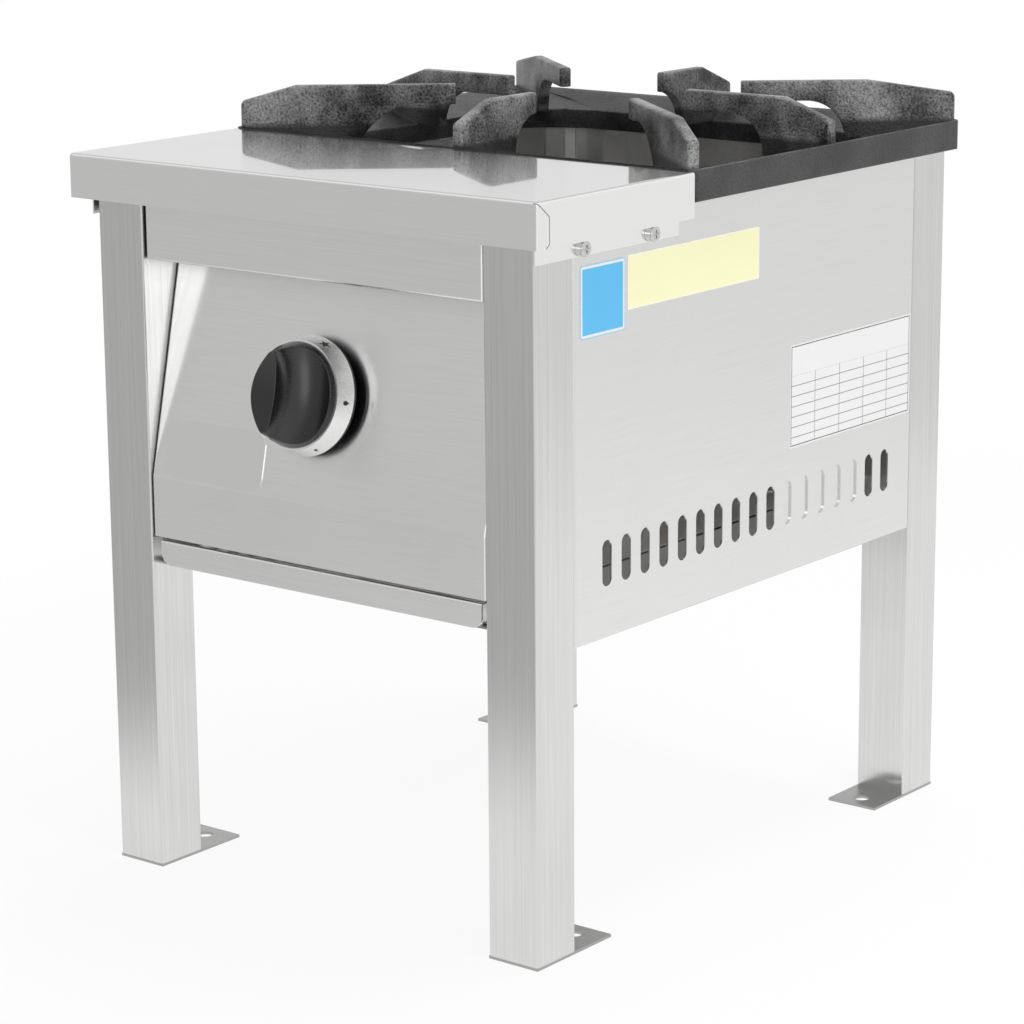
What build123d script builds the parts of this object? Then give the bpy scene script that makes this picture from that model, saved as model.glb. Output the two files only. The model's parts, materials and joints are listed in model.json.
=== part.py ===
from build123d import *
from math import cos, radians, sin, sqrt, tan
import os

# Free-standing gas stock pot range: a low four-legged stand in folded stainless steel, a worktop over
# the controls in front, and a cast iron pot grate over the burner behind.
# Millimetres. +Z up, +X to the right, the controls face -Y.
# Origin: on the floor, at the centre of the four anchor holes.

os.makedirs("parts", exist_ok=True)

# --- whole body ---
body_width = 373.0  # over the legs, along X
body_depth = 482.4  # over the legs, along Y
top_height = 500.0  # worktop surface above the floor
body_drop = 294.5  # worktop surface down to the lower edge of the side panels
sheet = 1.2  # stainless sheet of panels and worktop
bend = 2.4  # outside radius of a fold
seat_drop = 12.0  # worktop surface down to the seat of the grate
panel_return = 15.0  # depth of the folded edges of side and back panels
past = 1.0  # cuts run this far past a face, and joined shapes run this far into each other

# --- pan-head screws, as shares of the head's width or height ---
head_round = 0.45
recess_depth = 0.55
recess_length = 0.52
recess_width = 0.13

# --- legs and feet ---
tube_size = 40.0
tube_wall = 1.2
tube_corner = 1.5
foot_thick = 2.0
foot_length = 79.0
foot_hole = 11.0
foot_hole_reach = 24.7  # anchor hole beyond the leg's face

# --- ventilation slots in the side panels ---
slot_count = 17
slot_width = 10.0
slot_height = 30.6
slot_pitch = 20.8
slot_level = 50.1  # slot centre above the panel's lower edge

# --- worktop ---
side_overhang = 13.5
front_overhang = 13.3
flange_height = 30.0
strip_height = 12.0  # screw strip below the side flange
skirt_play = 3.5  # the skirt is this much wider than the legs, all of it on the left
front_leaf = 12.7  # return under the front flange
ear_slope = 10.4  # slanted start of the seam where the front flange wraps the corner
ear_width = 11.9  # length that the front flange wraps round the side
seam_gap = 0.5
seam_corner = 3.0
seam_lead = 3.4  # the seam leaves the corner at 45 degrees for this long
rail_depth = 35.0
rail_height = 20.0
rail_lap = 14.5  # the cross rail reaches this far forward of the grate's edge
screw_inset = 6.8  # first cover screw behind the front legs
screw_rear_inset = 30.7  # second cover screw in front of the worktop's rear edge
screw_drop = 7.0  # cover screws below the side flange
hole_play = 0.2  # round a screw's shank
cover_screw = 5.0  # shank
cover_head = 10.2
cover_head_height = 2.8
cover_washer = (9.6, 1.6)  # spring washer: diameter and thickness
washer_split = 0.6
cover_screw_grip = 7.6  # thread behind the side panel's face

# --- fascia and control panel ---
fascia_set_back = 1.7  # behind the front face of the legs
fascia_height = 68.2
fascia_gap = 1.5  # each side, to the leg
fascia_return = 20.0
panel_set_back = 1.2
panel_gap = 0.8
panel_raise = 34.1  # lower edge of the control panel above the side panels' lower edge
panel_upright = 41.3  # upright strip below the bend
panel_tilt = 12.25  # degrees
panel_side_return = 18.0
panel_screw = 4.0
panel_screw_head = 8.0
panel_screw_head_height = 2.8
panel_screw_inset = 10.0  # behind the panel's face
panel_screw_low = 21.1  # above the panel's lower edge
panel_screw_high = 80.8  # above the bend
badge_size = (89.6, 40.4)
badge_centre = (-90.8, 22.2)  # across, and up the slope from the bend
badge_thick = 0.6
badge_corner = 10.0

# --- knob and gas tap, on an axis square to the sloping panel ---
knob_across = -8.7
knob_up_slope = 71.5
knob_stand_off = 5.0  # knob's back to the panel
knob_push = 4.0
ring_start = 7.7
ring_end = 20.1
ring_outer = 40.15
ring_front = 36.4
ring_wall = 1.4
grip_height = 52.0
grip_width = 21.0  # at its middle
grip_draft = 17.0  # degrees, of the knob's black side
grip_crown = 75.0  # radius of the grip's outer edge
grip_tip_round = 3.0
scoop_bow = 50.0  # centre that a scoop is turned about, beyond the knob's axis
scoop_foot = (34.6, 4.6)  # outer edge of a scoop: from the axis, and in front of the ring
scoop_hollow = (17.0, 7.0)  # point on a scoop's arc, given in the same way
scoop_edge = 0.6  # round on the edges of the scoops
knob_wall = 5.0
knob_roof = 5.0
socket_radius = 8.0
spindle_diameter = 8.0
spindle_flat = 1.0
spindle_out = 30.0  # spindle in front of the panel
spindle_play = 0.08
spindle_depth = 22.0  # spindle behind the panel
tap_diameter = 24.0
tap_length = 62.0
tap_flange = (46.0, 28.0, 3.0)
tap_flange_corner = 4.0
tap_nut = (22.0, 6.0)  # flats and length of the joint in front of the magnet unit
tap_bore_spare = 3.0  # bore beyond the pushed-in spindle
tap_screw_spacing = 34.0
tap_screw = 4.0
tap_screw_head = 7.6
tap_screw_head_height = 2.4
tap_screw_grip = 2.0
tap_hole = 12.0
washer_diameter = 16.0
washer_thick = 1.5
washer_play = 0.5
washer_gap = 1.5  # to the back of the panel
magnet_diameter = 18.0
magnet_length = 18.0
inlet_boss = (16.0, 28.0)  # diameter, reach from the tap's axis
outlet_boss = (14.0, 17.0)
pilot_boss = (9.0, 20.0)
inlet_boss_depth = 30.0  # behind the panel
outlet_boss_depth = 50.0
pilot_boss_depth = 42.0

# --- drip tray and runners ---
tray_reveal = 2.7  # dark line between the control panel and the tray's lip
tray_depth = 18.5
tray_wall = 1.2
tray_play = 1.5  # each side, to the runner
tray_back_gap = 51.0  # tray's rear wall to the back face of the legs
tray_front_gap = 17.0  # tray's front wall to the front face of the legs
lip_set_back = 3.2
lip_height = 17.2
lip_gap = 6.0  # each side, to the leg
lip_corner = 8.0
runner_wall = 1.2
runner_leaf = 18.0
runner_end_gap = 12.0
runner_play = 0.05
stop_height = 8.0
stop_gap = 0.3

# --- pot grate ---
pot_rise = 30.0  # pot surface above the worktop
grate_depth = 328.5
grate_back_set = 2.2  # grate's rear edge inside the legs' rear face
grate_gap = 0.7
rim_top_rise = 1.0  # rim's outer edge above the worktop
rim_fall = 11.7  # from the outer edge to the opening
rim_corner = 5.0
rim_land = 1.5  # level strip round the rim
skirt_gap = 1.0  # to the folded edges of the side panels, and to the cross rail
skirt_wall = 6.0
skirt_leg_gap = 1.4  # to the corners of the rear legs
skirt_depth = 14.0
apron_wall = 7.0
apron_drop = 8.0  # below the seat
lug_width = 6.0
lug_play = 0.6
lug_half_spacing = 105.0
fin_thick = 8.5
fin_nose = 14.3  # depth of a fin's nose
fin_edge = 1.2  # chamfer of a fin's top edges
fin_shoulder = 4.0  # round on a fin's outer corner
# Each kind of fin, from its nose outwards. nose_gap: to the burner cap, seen from above. nose_flat: level
# underside, up to the arc. arc_fall: height of the arc. root_in: root inside the opening's edge. slope_run,
# fall: slope outside. end_gap: to the grate's edge.
side_fin = dict(
    nose_gap=8.0, nose_flat=40.0, arc_fall=24.0, root_in=21.5, slope_run=39.3, fall=14.0, end_gap=2.0
)
middle_fin = dict(
    nose_gap=6.0, nose_flat=1.5, arc_fall=26.0, root_in=36.75, slope_run=35.25, fall=14.0, end_gap=4.0
)
front_fin = dict(
    nose_gap=31.5, nose_flat=11.0, arc_fall=23.7, root_in=18.2, slope_run=39.0, fall=11.0, end_gap=5.0
)
rear_fin = dict(
    nose_gap=31.5, nose_flat=44.5, arc_fall=26.5, root_in=10.6, slope_run=62.3, fall=9.5, end_gap=5.0
)

# --- burner ---
flame_gap = 66.0  # burner cap to pot
cap_radius = 70.0
cap_height = 20.0
cap_crown = 6.0
cap_wall = 5.0
cap_spigot = 6.0
cap_play = 0.5
port_count = 36
port_width = 2.4
port_height = 5.0
port_low = 2.0  # above the cap's seat
bowl_radius = 78.0
bowl_height = 50.0
bowl_wall = 6.0
bowl_lip = 8.0
pillar_height = 49.0
pillar_diameter = 16.0
pillar_spacing = (84.0, 56.0)
bowl_foot_round = 10.0
bowl_lip_round = 1.5
bolt_diameter = 6.0
bolt_play = 0.3
bolt_depth = 14.0  # thread in the pillar
bolt_spare = 2.0  # hole beyond the bolt's end
bolt_head = (10.0, 4.0)  # flats and height
bridge_thick = 2.0
bridge_length = 104.0
bridge_shift = 10.8  # its middle behind the burner's middle
bridge_tab_lap = 4.0  # tabs reach below the slots

# --- mixing tube, injector and its arm ---
tube_rise = 22.0  # tube axis above the bowl's floor
tube_set_out = 12.0  # flange face in front of the bowl
tube_flange = (40.0, 64.0, 5.0)
tube_bolt = 5.0
tube_bolt_spacing = 50.0
tube_bolt_head = (8.0, 3.5)
tube_bolt_nut = 4.0
tube_flange_corner = 6.0
mixing_length = 78.0
mixing_radius = 17.0
throat_radius = 12.0
mouth_radius = 21.0
mixing_wall = 3.0
throat_start = 0.55  # shares of the mixing tube's length
throat_end = 0.75
mouth_middle = 0.9
mouth_sag = 1.2  # flare of the mouth inside a straight cone
injector_gap = 5.0
injector_flats = 13.0
injector_length = 14.0
injector_nose = 6.0
injector_tip = 4.0  # radius of the turned tip
injector_bore = 1.6
neck_diameter = 16.0
neck_length = 26.0
holder_size = (26.0, 20.0, 24.0)
arm_width = 25.0
arm_thick = 3.0
arm_lap = 45.0  # arm's length on the bridge
shutter_radius = 21.0
shutter_thick = 2.0
shutter_hub = 12.0
shutter_hub_wall = 4.0
shutter_play = 0.08
shutter_set_back = 1.0  # behind the neck's end, when fully open
shutter_screw = 4.0
shutter_screw_length = 9.0
shutter_screw_head = (8.0, 4.0)
shutter_screw_gap = 0.3

# --- gas pipes ---
supply_diameter = 12.0
supply_wall = 1.0
feed_diameter = 8.0
feed_wall = 1.0
pilot_tube_diameter = 4.0
lead_diameter = 3.0
lead_straight = 32.0  # first run out of each end
pilot_tube_straight = 24.0  # first run out of the tap
inlet_across = -70.0
inlet_drop = 18.0  # its axis below the underside of the bridge
inlet_thread = 20.95
inlet_shank = 24.0  # where it passes through the back panel
inlet_bore = 14.0
inlet_reach = 24.0  # beyond the back panel
inlet_inside = 18.0
inlet_flats = 32.0
inlet_nut = 6.0
supply_bend = 24.0
supply_climb = 72.0  # length over which the supply pipe changes height
feed_bend = 9.0
feed_straight = 8.0  # beyond each nut
supply_flats = 19.0
supply_nut = 14.0
feed_flats = 14.0
feed_nut = 10.0
pilot_nut = 7.0
clip_width = 14.0
clip_wall = 1.5

# --- pilot burner and thermocouple ---
pilot_angle = -52.0  # round the burner, from +X
pilot_radius = 95.0
pilot_spread = 20.0
pilot_diameter = 9.0
pilot_stem = 7.0
pilot_rise = 21.0  # above its bracket
pilot_hood = 6.0
probe_diameter = 5.0
probe_length = 24.0
probe_thread = 8.0
probe_thread_length = 8.0
probe_stem = 6.0
probe_tip_round = 2.0
shelf_drop = 14.0  # bracket's shelf below the cap's seat
shelf_size = (24.0, 40.0)
shelf_thick = 1.5
bracket_height = 25.0
bracket_reach = 6.0  # bracket's face outside the bowl
bracket_boss = (20.0, 2.0)  # width, and top below the shelf

# --- worked out from the sizes above ---
body_bottom = top_height - body_drop
half_width = body_width / 2
half_depth = body_depth / 2
leg_in_x = half_width - tube_size
leg_in_y = half_depth - tube_size
under_top = top_height - sheet
seat_height = top_height - seat_drop
plate_half = half_width + side_overhang
plate_front = -half_depth - front_overhang
flange_bottom = top_height - flange_height
grate_back = half_depth - grate_back_set
grate_front = grate_back - grate_depth
plate_back = grate_front - grate_gap
burner_y = (grate_back + grate_front) / 2
pot_height = top_height + pot_rise
slot_z = body_bottom + slot_level
control_bottom = body_bottom + panel_raise
control_face = -half_depth + panel_set_back
bend_height = control_bottom + panel_upright
tilt = radians(panel_tilt)
tray_top = control_bottom - tray_reveal
tray_bottom = tray_top - tray_depth
cap_seat = pot_height - flame_gap - cap_height
bowl_bottom = cap_seat - bowl_height
bridge_top = bowl_bottom - pillar_height
under_bridge_z = bridge_top - bridge_thick
inlet_height = under_bridge_z - inlet_drop
tube_z = bowl_bottom + tube_rise
tube_reach = bowl_radius + tube_set_out
half_grate = grate_depth / 2
opening_width = 2 * (half_width - panel_return - skirt_gap - skirt_wall)
opening_depth = 2 * (half_grate - rail_depth + rail_lap - skirt_gap - skirt_wall)
# The opening's corners are as round as it takes for the skirt to pass the rear legs.
past_leg_x = max(opening_width / 2 - leg_in_x, 0)
past_leg_y = max(burner_y + opening_depth / 2 - leg_in_y, 0)
leg_room = skirt_wall + skirt_leg_gap
round_leg = past_leg_x + past_leg_y + leg_room
opening_corner = round_leg + sqrt(round_leg**2 + leg_room**2 - past_leg_x**2 - past_leg_y**2)
cover_screw_z = flange_bottom - screw_drop
bracket_face = bowl_radius + bracket_reach
shelf_z = cap_seat - shelf_drop


def block(low, high):
    size = [b - a for a, b in zip(low, high)]
    middle = [(a + b) / 2 for a, b in zip(low, high)]
    return Pos(*middle) * Box(*size)


def rod(start, direction, diameter, length):
    return Plane(origin=start, z_dir=direction) * extrude(Circle(diameter / 2), length)


def hex_bar(start, direction, flats, length):
    outline = RegularPolygon(flats / 2, 6, major_radius=False)
    return Plane(origin=start, z_dir=direction) * extrude(outline, length)


def folded_pan(low, high, axis, way, wall=sheet, radius=bend):
    """Sheet with a flat face towards `way` along `axis`, and four returns folded behind it."""
    index = "XYZ".index(axis)
    world = (Axis.X, Axis.Y, Axis.Z)[index]
    outer = block(low, high)
    outer = fillet(outer.faces().sort_by(world)[-1 if way > 0 else 0].edges(), radius)
    inner_low = [v + wall for v in low]
    inner_high = [v - wall for v in high]
    if way > 0:
        inner_low[index] = low[index] - wall
    else:
        inner_high[index] = high[index] + wall
    inner = block(inner_low, inner_high)
    inner = fillet(inner.faces().sort_by(world)[-1 if way > 0 else 0].edges(), max(radius - wall, 0.2))
    return outer - inner


def even_radii(points):
    """Each corner of a hand-bent tube takes the largest arc that its two runs leave room for."""
    radii = []
    for before, here, after in zip(points, points[1:], points[2:]):
        run_in = Vector(*here) - Vector(*before)
        run_out = Vector(*after) - Vector(*here)
        turn = radians(run_in.get_angle(run_out))
        radii.append(0.45 * min(run_in.length, run_out.length) / tan(turn / 2))
    return radii


def bent_tube(name, points, radii, diameter, wall=0.0):
    path = FilletPolyline(*points, radius=radii)
    section = Plane(origin=path @ 0, z_dir=path % 0)
    outline = Circle(diameter / 2)
    if wall:
        outline = outline - Circle(diameter / 2 - wall)
    tube = sweep(section * outline, path=path)
    expected = outline.area * path.length
    arcs = ", ".join(f"{r:.1f}" for r in radii)
    print(f"{name}: length {path.length:.1f}, radii {arcs}, volume ratio {tube.volume / expected:.4f}")
    return tube


def save(shape, name):
    if isinstance(shape, list):
        shape = Compound(shape)
    export_step(shape, f"parts/{name}.step")


def pan_screw(start, direction, shank, head, head_height, length):
    """Pan-head screw with the underside of its head at `start` and its shank along `direction`."""
    out = -Vector(*direction)
    crown = rod(start, out, head, head_height)
    crown = fillet(crown.edges().sort_by(Axis(start, out))[-1], head_round * head_height)
    long = recess_length * head
    short = recess_width * head
    deep = 2 * recess_depth * head_height
    slot = Box(long, short, deep) + Box(short, long, deep)
    crown -= Plane(origin=Vector(*start) + out * head_height, z_dir=out) * slot
    return crown + rod(start, direction, shank, length)


def front_line(z):
    """Y of the control panel's face at height z."""
    return control_face + max(z - bend_height, 0) * tan(tilt)


def panel_screw_places():
    low = control_bottom + panel_screw_low
    high = bend_height + panel_screw_high
    return [(front_line(z) + panel_screw_inset, z) for z in (low, high)]


def cover_screw_places():
    return -leg_in_y + screw_inset, plate_back - screw_rear_inset


# --- legs and foot plates ---


def leg(side, end, height):
    outer = RectangleRounded(tube_size, tube_size, tube_corner)
    inner_size = tube_size - 2 * tube_wall
    inner = RectangleRounded(inner_size, inner_size, tube_corner - tube_wall)
    place = Pos(side * (half_width - tube_size / 2), end * (half_depth - tube_size / 2), foot_thick)
    tube = place * extrude(outer - inner, height - foot_thick)
    if end < 0:
        for y, z in panel_screw_places():
            tube -= rod((side * (leg_in_x - past), y, z), (side, 0, 0), panel_screw, tube_wall + 2 * past)
    return tube


def foot_plate(side, end):
    plate = Pos(0, end * (half_depth - foot_length / 2)) * Rectangle(tube_size, foot_length)
    hole = Pos(0, end * (leg_in_y - foot_hole_reach)) * Circle(foot_hole / 2)
    return Pos(side * (half_width - tube_size / 2), 0) * extrude(plate - hole, foot_thick)


for end, end_name in ((-1, "front"), (1, "rear")):
    for side, side_name in ((-1, "left"), (1, "right")):
        height = under_top if end < 0 else seat_height
        save(leg(side, end, height), f"leg_{end_name}_{side_name}")
        save(foot_plate(side, end), f"foot_plate_{end_name}_{side_name}")


# --- side panels, back panel and cross rail ---


def side_panel(side):
    pan = folded_pan(
        (half_width - panel_return, -leg_in_y, body_bottom), (half_width, leg_in_y, seat_height), "X", 1
    )
    slot = Plane.YZ * SlotOverall(slot_height, slot_width, rotation=90)
    for i in range(slot_count):
        y = (i - (slot_count - 1) / 2) * slot_pitch
        pan -= Pos(half_width - sheet, y, slot_z) * extrude(slot, 2 * sheet, both=True)
    for y in cover_screw_places():
        pan -= rod((half_width - sheet - past, y, cover_screw_z), (1, 0, 0), cover_screw, sheet + 2 * past)
    return pan if side > 0 else mirror(pan, Plane.YZ)


save(side_panel(1), "side_panel_right")
save(side_panel(-1), "side_panel_left")

back_panel = folded_pan(
    (-leg_in_x, half_depth - panel_return, body_bottom), (leg_in_x, half_depth, seat_height), "Y", 1
)
inlet_start = (inlet_across, half_depth - sheet - inlet_inside, inlet_height)
back_panel -= rod(inlet_start, (0, 1, 0), inlet_shank + 2 * hole_play, inlet_inside + sheet + past)
save(back_panel, "back_panel")

# The rail lies under the folded tops of the side panels and carries the grate's front edge.
rail_front = grate_front - rail_lap
rail_top = seat_height - sheet
rail = block(
    (-half_width + bend, rail_front, rail_top - rail_height),
    (half_width - bend, rail_front + rail_depth, rail_top),
)
rail -= block(
    (-half_width, rail_front + sheet, rail_top - rail_height - past),
    (half_width, rail_front + rail_depth - sheet, rail_top - sheet),
)
save(rail, "cross_rail")


# --- worktop ---


def corner_seam():
    """Cut that shows where the front flange wraps round the side flange."""
    ear_end = plate_front + ear_width
    points = [
        (plate_front - past, top_height - seam_gap / 2),
        (plate_front + seam_lead, top_height - seam_lead),
        (ear_end, top_height - ear_slope),
        (ear_end, flange_bottom + seam_corner),
        (ear_end - seam_corner, flange_bottom + sheet / 2),
        (ear_end - seam_corner, flange_bottom - past),
    ]
    line = Polyline(*points)
    return Plane.YZ * trace(line, seam_gap)


def worktop():
    low = (-plate_half, plate_front, flange_bottom)
    high = (plate_half, plate_back, top_height)
    shell = block(low, high)
    top = shell.faces().sort_by(Axis.Z)[-1]
    rear = top.edges().sort_by(Axis.Y)[-1]
    front_corners = shell.edges().filter_by(Axis.Z).group_by(Axis.Y)[0]
    shell = fillet(top.edges() - [rear] + front_corners, bend)
    hollow = block(
        (-plate_half + sheet, plate_front + sheet, flange_bottom + sheet),
        (plate_half - sheet, plate_back + past, top_height - sheet),
    )
    hollow_top = hollow.faces().sort_by(Axis.Z)[-1]
    hollow_rear = hollow_top.edges().sort_by(Axis.Y)[-1]
    hollow_corners = hollow.edges().filter_by(Axis.Z).group_by(Axis.Y)[0]
    shell -= fillet(hollow_top.edges() - [hollow_rear] + hollow_corners, bend - sheet)
    # Opening between the leaves that return under the flanges.
    leaf_left = -half_width - skirt_play
    shell -= block(
        (leaf_left, plate_front + front_leaf, flange_bottom - past),
        (half_width, plate_back + past, flange_bottom + sheet + past),
    )
    # Turned-down rear edge that stands on the cross rail.
    rear_half = half_width - panel_return - seam_gap
    shell += block((-rear_half, plate_back - sheet, rail_top), (rear_half, plate_back, under_top))
    strip_front = plate_front + front_leaf
    for inside, way in ((half_width, 1), (leaf_left, -1)):
        strip = block(
            (min(inside, inside + way * sheet), strip_front, flange_bottom - strip_height),
            (max(inside, inside + way * sheet), plate_back, flange_bottom + sheet),
        )
        shell += strip
        for y in cover_screw_places():
            start = (inside - way * past, y, cover_screw_z)
            shell -= rod(start, (way, 0, 0), cover_screw + 2 * hole_play, sheet + 2 * past)
    seam = extrude(corner_seam(), 3 * sheet, both=True)
    shell -= Pos(plate_half, 0, 0) * seam
    shell -= Pos(-plate_half, 0, 0) * seam
    return shell


save(worktop(), "worktop")

cover_screws = []
cover_washers = []
washer_size, washer_height = cover_washer
for inside, way in ((half_width, 1), (-half_width - skirt_play, -1)):
    for y in cover_screw_places():
        on_strip = (inside + way * sheet, y, cover_screw_z)
        under_head = (on_strip[0] + way * washer_height, y, cover_screw_z)
        washer = rod(on_strip, (way, 0, 0), washer_size, washer_height)
        washer -= rod(on_strip, (way, 0, 0), cover_screw + 2 * hole_play, washer_height)
        washer -= Pos(on_strip[0], y, cover_screw_z + washer_size / 2) * Box(
            2 * washer_size, washer_split, washer_size
        )
        cover_washers.append(washer)
        reach = washer_height + abs(inside) - half_width + sheet + cover_screw_grip
        cover_screws.append(
            pan_screw(under_head, (-way, 0, 0), cover_screw, cover_head, cover_head_height, reach)
        )
save(cover_screws, "cover_screws")
save(cover_washers, "cover_washers")


# --- fascia and control panel ---

fascia_face = -half_depth + fascia_set_back
fascia_half = leg_in_x - fascia_gap
fascia = folded_pan(
    (-fascia_half, fascia_face, under_top - fascia_height),
    (fascia_half, fascia_face + fascia_return, under_top),
    "Y",
    -1,
)
save(fascia, "fascia")

panel_half = leg_in_x - panel_gap
slope_end = control_face + (under_top - bend_height) * tan(tilt)
slope_frame = Plane(
    origin=(0, control_face, bend_height), x_dir=(1, 0, 0), z_dir=(0, -cos(tilt), sin(tilt))
)


def control_outline(inset, back):
    """Side view of the control panel, `inset` behind its face and `back` deep."""
    lift = inset * tan(tilt / 2)
    shift = inset / cos(tilt) - inset
    points = [
        (control_face + inset, control_bottom + inset),
        (control_face + inset, bend_height + lift),
        (slope_end + inset + shift - inset * tan(tilt), under_top - inset),
        (slope_end + back - inset * tan(tilt), under_top - inset),
        (control_face + back, bend_height + lift),
        (control_face + back, control_bottom + inset),
    ]
    return Plane.YZ * make_face(Polyline(*points, close=True))


def control_panel():
    solid = extrude(control_outline(0, panel_side_return), panel_half, both=True)
    front = solid.edges().filter_by(lambda e: abs(e.center().Y - front_line(e.center().Z)) < sheet / 10)
    level = front.filter_by(Axis.X).sort_by(Axis.Z)
    solid = fillet(front - level, bend)
    solid -= extrude(control_outline(sheet, 2 * panel_side_return), panel_half - sheet, both=True)
    # The lower edge has no return: it is a plain cut edge.
    solid -= block(
        (-panel_half + sheet, control_face + sheet, control_bottom - past),
        (panel_half - sheet, control_face + panel_side_return + past, control_bottom + 2 * sheet),
    )
    solid -= slope_frame * Pos(knob_across, knob_up_slope) * Cylinder(tap_hole / 2, 6 * sheet)
    for x in (-tap_screw_spacing / 2, tap_screw_spacing / 2):
        solid -= slope_frame * Pos(knob_across + x, knob_up_slope) * Cylinder(tap_screw / 2, 6 * sheet)
    for side in (-1, 1):
        for y, z in panel_screw_places():
            solid -= Pos(side * panel_half, y, z) * Rot(0, 90, 0) * Cylinder(panel_screw / 2, 4 * sheet)
    return solid


save(control_panel(), "control_panel")

panel_screws = []
for side in (-1, 1):
    for y, z in panel_screw_places():
        start = (side * (panel_half - sheet), y, z)
        length = sheet + panel_gap + tube_wall
        panel_screws.append(
            pan_screw(start, (side, 0, 0), panel_screw, panel_screw_head, panel_screw_head_height, length)
        )
save(panel_screws, "panel_screws")

badge = slope_frame * Pos(*badge_centre) * extrude(RectangleRounded(*badge_size, badge_corner), badge_thick)
save(badge, "badge_plate")


# --- knob and gas tap, drawn on the panel's normal ---

knob_frame = slope_frame * Pos(knob_across, knob_up_slope)


def on_tap(depth, across=0.0, up=0.0):
    """Point `depth` behind the panel's face on the tap's axis."""
    return (knob_frame * Pos(across, up, -depth)).position


into_body = -slope_frame.z_dir
up_slope = slope_frame.y_dir


def knob_ring():
    def cone(shrink, extra):
        slope = (ring_outer - ring_front) / (ring_end - ring_start)
        low = ring_start - extra
        high = ring_end + extra
        wide = ring_outer + slope * extra - shrink
        narrow = ring_front - slope * extra - shrink
        return loft([Pos(0, 0, low) * Circle(wide), Pos(0, 0, high) * Circle(narrow)])

    return knob_frame * (cone(0, 0) - cone(ring_wall, past))


def knob_scoop(side):
    """What a finger's scoop beside the grip takes away, turned about a centre on the other side."""
    start = (grip_width / 2, grip_height)
    middle = (scoop_hollow[0], ring_end + scoop_hollow[1])
    foot = (scoop_foot[0], ring_end + scoop_foot[1])
    over = grip_height + past
    face = make_face(
        [
            ThreePointArc(start, middle, foot),
            Polyline(foot, (2 * foot[0], foot[1]), (2 * foot[0], over), (start[0], over), start),
        ]
    )
    sweep_round = Axis((-scoop_bow, 0, 0), (0, 0, 1))
    cut = revolve(Plane.XZ * face, sweep_round, 90)
    cut = Pos(-scoop_bow, 0) * Rot(0, 0, -45) * Pos(scoop_bow, 0) * cut
    return cut if side > 0 else mirror(cut, Plane.YZ)


def knob_grip():
    slope = (ring_outer - ring_front) / (ring_end - ring_start)
    low_radius = ring_outer + slope * (ring_start - knob_stand_off) - ring_wall
    neck_radius = ring_front - ring_wall
    skirt = loft([Pos(0, 0, knob_stand_off) * Circle(low_radius), Pos(0, 0, ring_end) * Circle(neck_radius)])
    front_radius = neck_radius - (grip_height - ring_end) * tan(radians(grip_draft))
    front = loft([Pos(0, 0, ring_end) * Circle(neck_radius), Pos(0, 0, grip_height) * Circle(front_radius)])
    shoulder = grip_height - grip_crown + sqrt(grip_crown**2 - neck_radius**2)
    crown = Plane.YZ * make_face(
        [
            Line((-neck_radius, ring_end), (-neck_radius, shoulder)),
            ThreePointArc((-neck_radius, shoulder), (0, grip_height), (neck_radius, shoulder)),
            Line((neck_radius, shoulder), (neck_radius, ring_end)),
            Line((neck_radius, ring_end), (-neck_radius, ring_end)),
        ]
    )
    front &= extrude(crown, neck_radius, both=True)
    front = fillet(front.edges().sort_by(Axis.Z)[-1], grip_tip_round)
    front -= knob_scoop(1) + knob_scoop(-1)
    over_ring = front.edges().filter_by(lambda e: e.center().Z > ring_end + past)
    front = fillet(over_ring.filter_by(lambda e: e.length > grip_width), scoop_edge)
    inside = Pos(0, 0, knob_stand_off - past)
    hollow = inside * extrude(Circle(low_radius - knob_wall), ring_end - knob_roof - knob_stand_off + past)
    socket = inside * extrude(Circle(socket_radius), ring_end - knob_stand_off)
    bore = extrude(Circle(spindle_diameter / 2), spindle_out)
    return knob_frame * ((skirt + front) - (hollow - socket) - (bore - spindle_flat_cut()))


def spindle_flat_cut():
    """What the flat takes off the part of the spindle that turns the knob."""
    length = spindle_out - knob_stand_off + past
    middle = Pos(0, (spindle_diameter - spindle_flat) / 2, knob_stand_off + length / 2)
    return middle * Box(spindle_diameter, spindle_flat, length)


save(knob_ring(), "knob_ring")
save(knob_grip(), "knob_grip")

spindle = Pos(0, 0, -spindle_depth) * extrude(Circle(spindle_diameter / 2), spindle_depth + spindle_out)
spindle -= spindle_flat_cut()
save(knob_frame * spindle, "tap_spindle")

bore_diameter = spindle_diameter + 2 * spindle_play
washer_depth = sheet + washer_gap + washer_thick
pocket_depth = washer_depth + knob_push + washer_gap
washer = Pos(0, 0, -washer_depth) * extrude(
    Circle(washer_diameter / 2) - Circle(bore_diameter / 2), washer_thick
)
save(knob_frame * washer, "tap_thrust_washer")


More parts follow.
